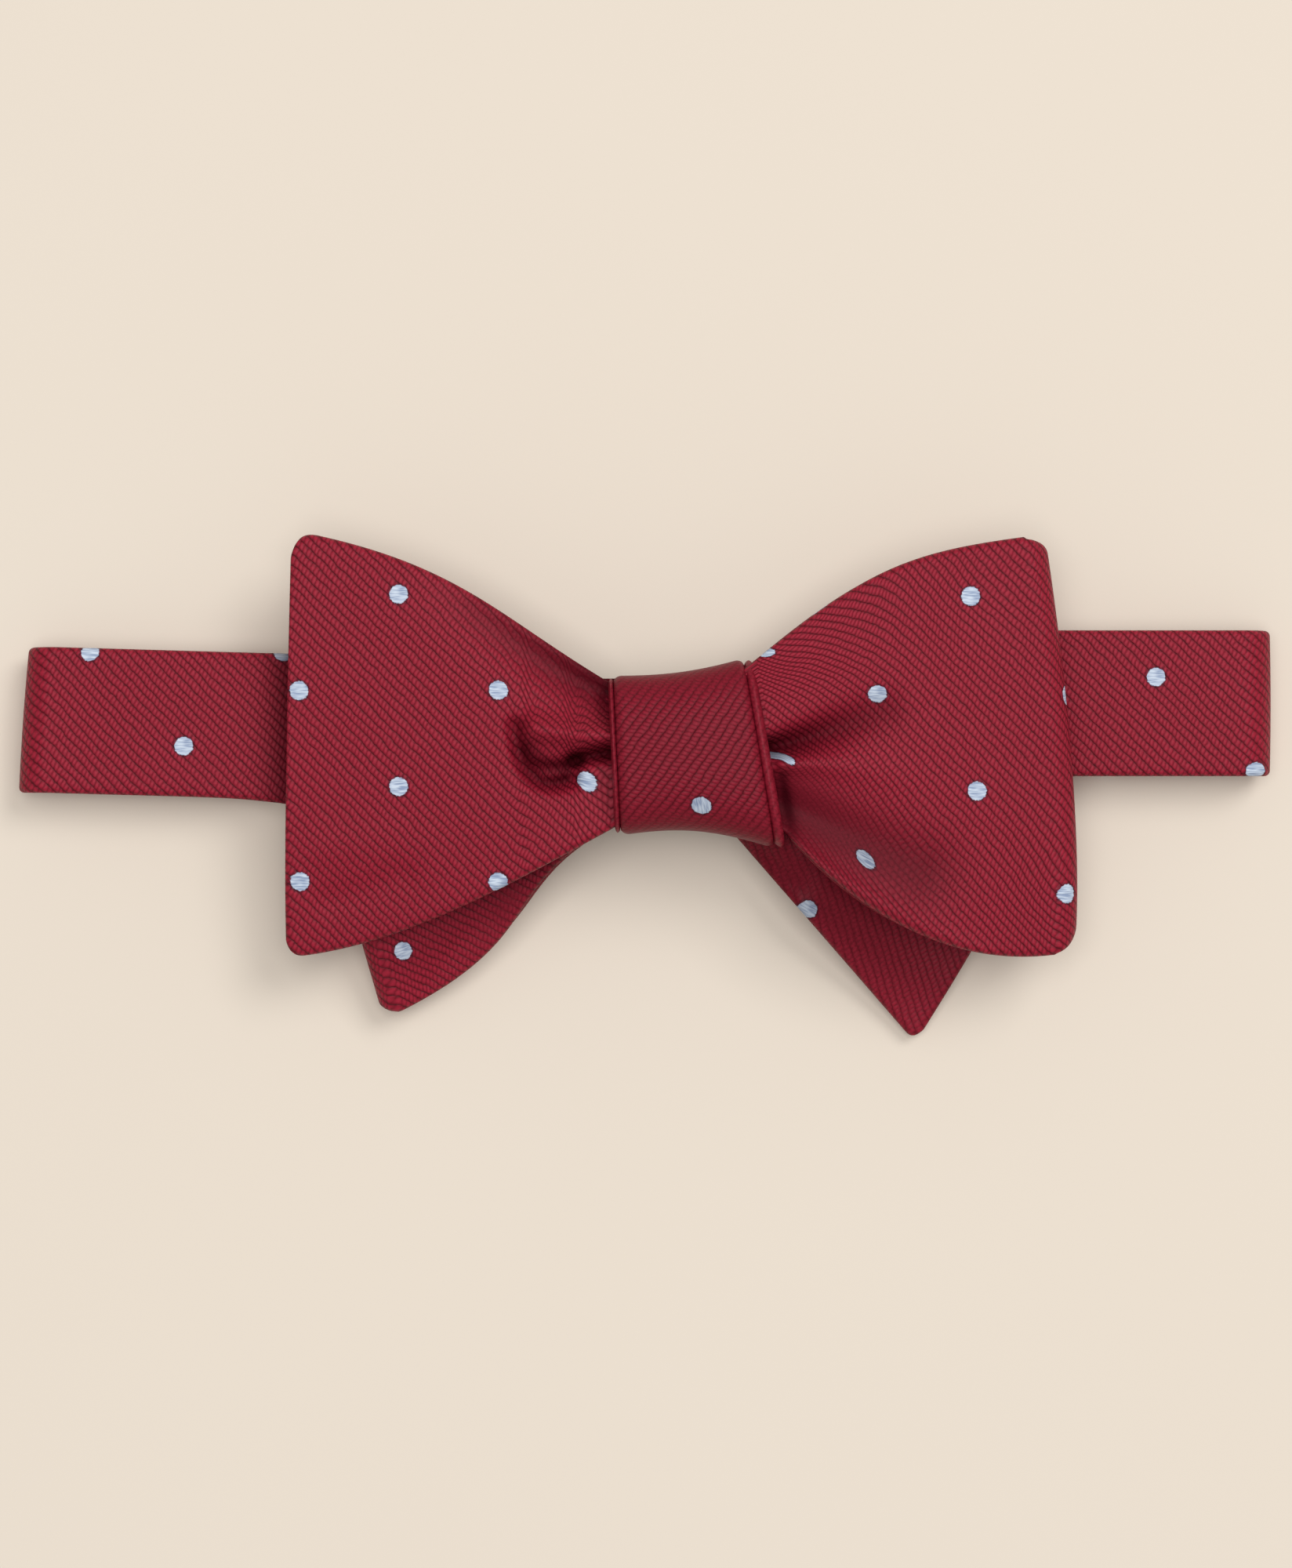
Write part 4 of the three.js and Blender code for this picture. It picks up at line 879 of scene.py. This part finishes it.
# %% [markdown]
# ### The gathered waists
# Inside the knot each blade is squeezed into a thick pleated bundle. A section is an oval whose edge is
# rippled by a sine, so that the pleats show in the knot's open sides.

# %% Waists
THROAT = 4.8                  # thickness of a waist
WAIST_MARGIN = 1.0
PLEAT_RIPPLE = 0.16
PLEAT_COUNT = 17


def waist(name, centre_z, material, node, columns=40, rows=200):
    """A tube of oval sections, each point moved in by a sine of its angle, closed to a point at both ends."""
    share = mix(0.01, 0.99, dense_ends(columns))
    angle = 2 * math.pi * np.arange(rows) / rows
    shares, angles = np.meshgrid(share, angle, indexing="ij")
    size = np.sqrt(np.clip(1 - np.abs(2 * shares - 1) ** 12, 0.02, 1))
    ripple = size * (1 - PLEAT_RIPPLE * (0.5 + 0.5 * np.sin(PLEAT_COUNT * angles + 2 * np.sin(3 * shares))))
    bottom = mix(*KNOT_BOTTOM, shares) + KNOT_WALL + WAIST_MARGIN
    top = mix(*KNOT_TOP, shares) - KNOT_WALL - WAIST_MARGIN
    y = (bottom + top) / 2 + (top - bottom) / 2 * np.cos(angles) * ripple
    z = centre_z + THROAT / 2 * np.sin(angles) * ripple
    x = mix(knot_edge(KNOT_LEFT, y), knot_edge(KNOT_RIGHT, y), shares)
    skin = np.stack([x, y, z], -1)
    middle = np.stack([x, (bottom + top) / 2, np.full_like(x, centre_z)], -1)
    inside = mix(skin, middle, 0.5)
    piece = layer(name, skin, inside, knot_cloth(skin), ring=True)
    return finish(piece, material, "knot", [node])


front_gathers = waist("front_gathers", FRONT_BOW_Z, claret_twill, "knot_front_waist")
rear_gathers = waist("rear_gathers", REAR_BOW_Z, claret_reverse, "knot_rear_waist")

# %% [markdown]
# ## The neckband
# The neckband is a flat silk sleeve over a ribbon of interlining. It runs behind the knot, turns under at
# both sides and comes back to the hook and the eye. A sleeve is a section carried along stops: each stop has
# a place, a lean of its face from straight up, a thickness and a width. The section is a flat strip with
# round edges, a little fuller in the middle. It starts at the back, where the sleeve's seam lies.

# %% Neckband path
SLEEVE_WALL = 0.4
BAND_WIDTH = 22.4
STRAP_WIDTH = 18
BAND_THICK = 2.0
STRAP_THICK = 1.4
BAND_MID = 8.2
FOLD_X = 91.6                 # where the neckband begins to turn under, each side
CLOSURE_X = 20.5              # centre of the hook's and the eye's strap bars
CLOSURE_Y = 6.6
STRAP_MID = {"left": 1.3, "right": 0.7}
BAR_Z = {"left": 3.1, "right": 2.5}
TURN_RADIUS = 1.8             # of a strap round a bar, to the middle of the strap
RELEASE = 1.7                 # travel that frees the hook
NOSE_RADIUS = TURN_RADIUS + RELEASE * math.sin(math.pi / 4) / 2
NOSE_X = -CLOSURE_X + RELEASE + 0.3
NOSE_Z = BAR_Z["left"] + NOSE_RADIUS - TURN_RADIUS
RIBBON_GAP = 0.15             # between a sleeve and its ribbon
CREST = 0.22                  # how much fuller the band is along its middle
LEFT_SLANT = 0.07             # lean of the left turn: its lower end reaches a little further out
SLIDER_SPREAD = 0.5           # how far the band spreads downwards over the slider behind it
WING_END = 55                 # where a wing ends and the band beyond it comes into the light
SHADED_BAND = (0.75, 0.3)     # painted shadow of the wings on the band beside them, left and right
INNER_SEAM = 12               # where the band's middle part meets its side parts, behind the knot
WING_SEAM = 40                # where the side part meets the long part, behind the wings


def band_y(x):
    """Middle of the front neckband: level behind the knot, easing up to each side's own height."""
    left = mix(8.9, 5, ease(-58, -24, x)) + 0.028 * np.clip(-58 - x, 0, None)
    return np.where(x < 0, left, mix(5, 12.4, ease(24, 60, x)))


def strap_y(x):
    """Middle of a back strap: straight from its turn to the closure."""
    turn = np.sign(x) * FOLD_X
    share = np.clip((FOLD_X - np.abs(x)) / (FOLD_X - CLOSURE_X), 0, 1)
    return mix(band_y(turn), CLOSURE_Y, share)


def stops(x, z, lean, thick, width, y):
    """One row for each stop: x, z, lean, thickness, width, y."""
    return np.stack(np.broadcast_arrays(x, z, lean, thick, width, y), -1).astype(float)


def front_run(start, end):
    """Stops along the front neckband."""
    x = np.linspace(start, end, max(int(abs(end - start) / 0.8), 12))
    ripple = 0.12 * np.sin(x / 6.5) + 0.08 * np.sin(x / 3.1 + 1)
    spread = np.where(x < 0, SLIDER_SPREAD * np.exp(-((x + 50) / 9) ** 2), 0)
    return stops(x, BAND_MID + ripple * ease(WING_SEAM - 2, WING_SEAM + 8, np.abs(x)) * 0.6,
                 0, BAND_THICK, BAND_WIDTH + 2 * spread, band_y(x) - spread)


def strap_run(start, end, z, lean=math.pi):
    """Stops along a back strap."""
    x = np.linspace(start, end, max(int(abs(end - start) / 1.5), 8))
    return stops(x, z, lean, STRAP_THICK, STRAP_WIDTH, strap_y(x))


def arc_run(x, z, radius, leans, count=28, thick=(STRAP_THICK, STRAP_THICK),
            width=(STRAP_WIDTH, STRAP_WIDTH)):
    """Stops round part of a circle; the face leans as it goes round."""
    t = np.linspace(0, 1, count)
    lean = mix(*leans, t)
    place = x + radius * np.sin(lean)
    side = np.sign(x) * min(abs(x), FOLD_X)
    return stops(place, z + radius * np.cos(lean), lean, mix(*thick, t), mix(*width, ease(0.5, 1, t)),
                 strap_y(side))


def strip_section(flats=(14, 26), rounds=10):
    """The unit section: a share of the flat part, and a place on the round edge, for each point round it."""
    low, high = np.linspace(0, 1, flats[0], endpoint=False), np.linspace(1, -1, flats[1], endpoint=False)
    turn = np.linspace(-math.pi / 2, math.pi / 2, rounds, endpoint=False)
    back = np.linspace(-1, 0, flats[0], endpoint=False)
    flat = np.concatenate([low, np.ones(rounds), high, -np.ones(rounds), back])
    zero = np.zeros(flats[1])
    cosine = np.concatenate([0 * low, np.cos(turn), zero, -np.cos(turn), 0 * low])
    sine = np.concatenate([0 * low - 1, np.sin(turn), zero + 1, -np.sin(turn), 0 * low - 1])
    return flat, cosine, sine


def slant(x, sideways):
    """How far the lean of the left turn moves a point out along the band."""
    return np.where(x < 0, LEFT_SLANT, 0) * sideways * ease(60, FOLD_X, np.abs(x))


def carried(run, inset):
    """The section at each stop, inset from the sleeve's skin."""
    x, z, lean, thick, width, y = [run[:, k:k + 1] for k in range(6)]
    flat, cosine, sine = strip_section()
    half = thick / 2 - inset
    reach = width / 2 - inset - half
    sideways = flat * reach + cosine * half
    crest = CREST * ease(STRAP_THICK, BAND_THICK, thick)
    normal = sine * half + np.where(sine > 0.9, crest * (1 - flat ** 2), 0)
    return np.stack([x + slant(x, sideways) + np.sin(lean) * normal, y + sideways,
                     z + np.cos(lean) * normal], -1)


def run_length(run):
    """Length along the stops from the first."""
    return np.append(0, np.cumsum(np.hypot(np.diff(run[:, 0]), np.diff(run[:, 1]))))


def strip_cloth(run, skin, spot):
    """Flat positions: along the band by the run's length, and across it by the length round the section."""
    closed = np.concatenate([skin, skin[:, :1]], axis=1)
    around = np.concatenate([np.zeros((len(skin), 1)),
                             np.cumsum(np.linalg.norm(np.diff(closed, axis=1), axis=2), axis=1)], axis=1)
    front = around[:, -1:] / 2
    x = run[0, 0] + np.sign(run[1, 0] - run[0, 0]) * run_length(run)[:, None]
    y = run[:, 5:6] + front - around
    return np.stack([np.broadcast_to(x, y.shape), y], -1) - np.array(spot)


def band(name, run, spot, material=None):
    """A sleeve and its interlining along a run."""
    skin = carried(run, 0)
    cloth = strip_cloth(run, skin, spot)
    # Painted shadow of the wings on the band's front layer, fading out past the wing's end.
    painted_wing_shadow = SHADED_BAND[int(run[0, 0] > 0)] * (1 - ease(WING_END - 2, WING_END + 5, np.abs(run[:, :1])))
    painted_shade = painted_wing_shadow * (run[:, 1:2] > BAND_MID - 1) + 0 * skin[..., 0]
    sleeve = layer(f"{name}_sleeve_cloth", skin, carried(run, SLEEVE_WALL), cloth, None, painted_shade, ring=True)
    x, z, lean, thick, width, y = [run[:, k:k + 1] for k in range(6)]
    side = np.linspace(-1, 1, 12)[None, :] * (width / 2 - thick / 2 - SLEEVE_WALL)
    half = thick / 2 - SLEEVE_WALL - RIBBON_GAP
    faces = [np.stack([x + slant(x, side) + np.sin(lean) * n, y + side, z + np.cos(lean) * n + 0 * side], -1)
             for n in (half, -half)]
    flat = np.stack([np.broadcast_to(run_length(run)[:, None], side.shape), side], -1)
    core = layer(f"{name}_ribbon", faces[0], faces[1], flat)
    sleeve.data.materials.append(material or claret_twill)
    core.data.materials.append(wool)
    return sleeve, core


def blend_pair(pair):
    """Bakes each piece's transform into its mesh."""
    for piece in pair:
        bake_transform(piece)


SPOT_LEFT = (-70.8, 5.8)      # where one spot shows on each part of the band
SPOT_RIGHT = (78.2, 16.4)
SPOT_CENTRE = (8.0, -3.3)
STRAP_JOIN = 35               # x at which a strap's long part meets its end
SHORT_OF_TURN = 0.2           # how far a straight run stops short of a turn
centre = band("centre_band", front_run(-INNER_SEAM, INNER_SEAM), SPOT_CENTRE)
for piece, node in zip(centre, ("neckband_centre_sleeve", "neckband_centre_interlining")):
    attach(piece, "knot")
    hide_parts(node)

for side, sign, spot in (("left", -1, SPOT_LEFT), ("right", 1, SPOT_RIGHT)):
    root = band(f"{side}_band_root", front_run(sign * INNER_SEAM, sign * WING_SEAM), spot)
    blend_pair(root)
    middle_z = (BAND_MID + STRAP_MID[side]) / 2
    long_run = np.concatenate([
        front_run(sign * WING_SEAM, sign * (FOLD_X - SHORT_OF_TURN)),
        arc_run(sign * FOLD_X, middle_z, BAND_MID - middle_z, (0, sign * math.pi), 40,
                (BAND_THICK, STRAP_THICK), (BAND_WIDTH, STRAP_WIDTH)),
        strap_run(sign * (FOLD_X - SHORT_OF_TURN), sign * STRAP_JOIN, STRAP_MID[side], sign * math.pi)])
    loop = band(f"{side}_band", long_run, spot)
    blend_pair(loop)
    for piece, kind in zip(root, ("sleeve", "interlining")):
        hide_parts(f"neckband_{side}_{kind}")
    for piece, kind in zip(loop, ("sleeve", "interlining")):
        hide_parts(f"neckband_{side}_turn_{kind}", f"back_strap_{side}_{kind}")

# %% [markdown]
# ### The strap ends
# The left strap turns round the hook's bar and comes back as a tail that is sewn to the slider. The right
# strap turns round the eye's bar and is sewn down on itself.

# %% Strap ends
TAIL_START = -24.5
SLIDER_BAR_X = -46.5
SLIDER_BAR_Z = 3.3
TAIL_END = SLIDER_BAR_X + 2.4
LOOP_RADIUS = 0.875
TAIL_TOP = NOSE_Z + NOSE_RADIUS
LAP_END = 32.5
LAP_Z = 2.4


def tapered(run, last=4, least=0.35):
    """The run with its last stops thinned, as an end that is folded in."""
    run = run.copy()
    run[-last:, 3] *= np.linspace(1, least, last) ** 0.5
    return run


nose_run = np.concatenate([
    strap_run(-STRAP_JOIN, -CLOSURE_X - SHORT_OF_TURN, STRAP_MID["left"]),
    arc_run(NOSE_X, NOSE_Z, NOSE_RADIUS, (math.pi, 0), 40),
    strap_run(NOSE_X - 0.4, TAIL_START, TAIL_TOP, 0)])
nose = band("left_strap_end", nose_run, SPOT_LEFT, claret_reverse)
for piece in nose:
    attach(piece, "back_strap_left")
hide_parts("back_strap_left_turn")

x = np.linspace(TAIL_START, TAIL_END + 0.2, 30)
drop = ease(TAIL_START, TAIL_END, x)
slope = np.gradient(mix(TAIL_TOP, SLIDER_BAR_Z, drop), x)
tail_run = stops(x, mix(TAIL_TOP, SLIDER_BAR_Z, drop), -np.arctan(slope), STRAP_THICK, STRAP_WIDTH,
                 strap_y(x))
tail = band("left_tail", tail_run, SPOT_LEFT, claret_reverse)
blend_pair(tail)
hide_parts("adjuster_tail")

x = np.linspace(CLOSURE_X + 0.3, LAP_END, 16)
settling = ease(CLOSURE_X, LAP_END - 3, x)
eye_run = tapered(np.concatenate([
    strap_run(STRAP_JOIN, CLOSURE_X, STRAP_MID["right"]),
    arc_run(CLOSURE_X - 0.15, BAR_Z["right"], TURN_RADIUS, (math.pi, 2 * math.pi), 34),
    stops(x, mix(BAR_Z["right"] + TURN_RADIUS, LAP_Z, settling), 0.0, STRAP_THICK, STRAP_WIDTH, strap_y(x))]))
lap = band("right_strap_end", eye_run, SPOT_RIGHT, claret_reverse)
for piece in lap:
    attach(piece, "back_strap_right")
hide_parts("back_strap_right_turn")


def sewn_loop():
    """The single silk that is sewn round the slider's first bar: a strip carried round it and back."""
    t = np.linspace(0, 1, 30)
    lean = -math.pi * t
    x = np.concatenate([[TAIL_END + 1.2], SLIDER_BAR_X + LOOP_RADIUS * np.sin(lean), [TAIL_END + 1.2]])
    z = np.concatenate([[SLIDER_BAR_Z + LOOP_RADIUS], SLIDER_BAR_Z + LOOP_RADIUS * np.cos(lean),
                        [SLIDER_BAR_Z - LOOP_RADIUS]])
    lean = np.concatenate([[0], lean, [-math.pi]])
    side = np.linspace(-1, 1, 24)[None, :] * (STRAP_WIDTH / 2 - 0.2)

    def face(n):
        """The strip's surface, n out from its middle."""
        return np.stack([(x + np.sin(lean) * n)[:, None] + 0 * side, strap_y(x)[:, None] + side,
                         (z + np.cos(lean) * n)[:, None] + 0 * side], -1)

    run = np.append(0, np.cumsum(np.hypot(np.diff(x), np.diff(z))))
    flat = np.stack([np.broadcast_to(run[:, None], (len(x), 24)), np.broadcast_to(side, (len(x), 24))], -1)
    return layer("slider_sewn_loop", face(SILK / 2), face(-SILK / 2), flat)


sewn = finish(sewn_loop(), claret_reverse, "adjuster_slider", ["adjuster_tail_loop"])

# %% [markdown]
# ### Bar tacks
# A bar tack is a close row of stitches that locks a sewn end. Each stitch is a small arch of thread, made
# once as a bent tube and repeated across the strap.

# %% Bar tacks
THREAD_RADIUS = 0.16
TACK_STITCHES = 26
STITCH_HALF = 0.75            # half the length of a stitch
STITCH_RISE = 0.34
STITCH_LEAN = 0.25            # stitches lean one way and the other in turn
TACK_MARGIN = 2               # from the row's ends to the strap's edges


def bar_tack(name, x, z, body, node, bow=9, sides=6):
    """A row of arches. An arch is half an ellipse in the XZ plane, with a circle carried along it."""
    t = np.linspace(0, math.pi, bow)
    ring = 2 * math.pi * np.arange(sides) / sides
    line = np.stack([STITCH_HALF * np.cos(t), STITCH_RISE * np.sin(t)], -1)
    normal = unit(np.stack([np.cos(t) / STITCH_HALF, np.sin(t) / STITCH_RISE], -1))
    tube = np.stack([
        line[:, :1] + normal[:, :1] * THREAD_RADIUS * np.cos(ring),
        np.broadcast_to(THREAD_RADIUS * np.sin(ring), (bow, sides)),
        line[:, 1:] + normal[:, 1:] * THREAD_RADIUS * np.cos(ring)], -1)
    places = np.linspace(-1, 1, TACK_STITCHES) * (STRAP_WIDTH / 2 - TACK_MARGIN)
    all_points, all_faces, all_flat = [], [], []
    i, j = np.meshgrid(np.arange(bow - 1), np.arange(sides), indexing="ij")
    quad = np.stack([i * sides + j, (i + 1) * sides + j, (i + 1) * sides + (j + 1) % sides,
                     i * sides + (j + 1) % sides], -1).reshape(-1, 4)
    caps = np.array([[0, 1, 2, 3], [0, 3, 4, 5]])
    quad = np.concatenate([quad, caps[:, ::-1], caps + (bow - 1) * sides])
    for number, place in enumerate(places):
        lean = STITCH_LEAN * (-1) ** number
        points = tube.reshape(-1, 3).copy()
        points[:, 1] += place + lean * points[:, 0]
        all_points.append(points + np.array([x, float(strap_y(np.array(x))), z]))
        all_faces.append(quad + number * len(points))
        all_flat.append(np.repeat(tube.reshape(-1, 3)[quad][..., :1], 2, -1))
    piece = put_mesh(name, np.concatenate(all_points), np.concatenate(all_faces), np.concatenate(all_flat))
    finish(piece, thread, body, [node])


bar_tack("slider_tack_stitches", TAIL_END - 0.5, SLIDER_BAR_Z + LOOP_RADIUS + 0.2, "adjuster_slider",
         "adjuster_bar_tack")
bar_tack("eye_tack_stitches", LAP_END - 1.4, LAP_Z + STRAP_THICK / 2 + 0.25, "back_strap_right",
         "eye_bar_tack")

# %% [markdown]
# ## The hook, the eye and the slider
# Stamped fittings are tumbled after plating, so no edge is sharp. Each is the solid model's own shape: its
# corners are merged, its flat faces are joined, and a small bevel rounds every edge.

# %% Metal fittings
EDGE_ROUND = 0.22             # radius that the barrel leaves on a stamped edge


def tumbled(name, node, body):
    """A copy of a solid with merged corners, joined flat faces and rounded edges."""
    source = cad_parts[node]
    mesh = source.data.copy()
    mesh.name = name
    mesh.transform(source.matrix_world)
    mesh.materials.clear()
    shape = bmesh.new()
    shape.from_mesh(mesh)
    bmesh.ops.remove_doubles(shape, verts=shape.verts, dist=0.001 * MM)
    bmesh.ops.dissolve_limit(shape, angle_limit=math.radians(1), verts=shape.verts, edges=shape.edges)
    bmesh.ops.recalc_face_normals(shape, faces=shape.faces)
    shape.to_mesh(mesh)
    shape.free()
    mesh.shade_smooth()
    piece = bpy.data.objects.new(name, mesh)
    bpy.context.collection.objects.link(piece)
    bevel = piece.modifiers.new("tumbled edges", "BEVEL")
    bevel.width = EDGE_ROUND * MM
    bevel.segments = 3
    bevel.limit_method = "ANGLE"
    bevel.angle_limit = math.radians(30)
    piece.modifiers.new("even shading", "WEIGHTED_NORMAL")
    finish(piece, nickel, body, [node])


tumbled("hook_plate", "closure_hook", "closure_hook")
tumbled("eye_plate", "closure_eye", "closure_eye")
tumbled("slider_frame", "adjuster_slider", "adjuster_slider")

# %% [markdown]
# ## The cloth that the folds take up
# A wing's panels are cut wider than they look, because the folds take up cloth. The sizes are estimates
# from these shapes, since no real cloth was measured.


# %% [markdown]
# ## Floor and light
# The tie lies on cream card. A lamp stands at the upper right, so that shadows fall softly to the lower
# left. A broad lamp overhead and the room's own light fill them.

# %% Studio
def card():
    """Cream card with a faint mottle."""
    material, tree, shader = new_material("cream_card", Roughness=0.9)
    place = add(tree, "ShaderNodeTexCoord").outputs["Object"]
    cloud = add(tree, "ShaderNodeTexNoise", {"Vector": place, "Scale": 9.0, "Detail": 3.0}).outputs["Fac"]
    tone = add(tree, "ShaderNodeMix", {"Factor": cloud, "A": colour("#ebdece"), "B": colour("#ede1d1")},
               data_type="RGBA").outputs["Result"]
    tree.links.new(tone, shader.inputs["Base Color"])
    return material


def lamp(name, place, size, power, tint="#ffffff"):
    """A square area lamp that points at the origin."""
    data = bpy.data.lights.new(name, "AREA")
    data.size = size
    data.energy = power
    data.color = colour(tint)[:3]
    light = bpy.data.objects.new(name, data)
    light.location = place
    light.rotation_euler = (-Vector(place)).to_track_quat("-Z", "Y").to_euler()
    bpy.context.collection.objects.link(light)


FLOOR_HALF = 3.0
floor_mesh = bpy.data.meshes.new("floor")
floor_corners = [(-FLOOR_HALF, -FLOOR_HALF, 0), (FLOOR_HALF, -FLOOR_HALF, 0),
                 (FLOOR_HALF, FLOOR_HALF, 0), (-FLOOR_HALF, FLOOR_HALF, 0)]
floor_mesh.from_pydata(floor_corners, [], [(0, 1, 2, 3)])
floor = bpy.data.objects.new("floor", floor_mesh)
floor.location.z = -0.0002
floor_mesh.materials.append(card())
bpy.context.collection.objects.link(floor)
lamp("key", (1.3, 1.3, 2.5), 1.3, 32.0)
lamp("overhead", (-0.1, 0.1, 3.2), 1.8, 49.0)
world = bpy.data.worlds.new("room")
world.use_nodes = True
world.node_tree.nodes["Background"].inputs["Color"].default_value = colour("#ffffff")
world.node_tree.nodes["Background"].inputs["Strength"].default_value = 0.31
bpy.context.scene.world = world
bpy.context.scene.view_settings.view_transform = "Standard"
bpy.context.scene.view_settings.look = "None"
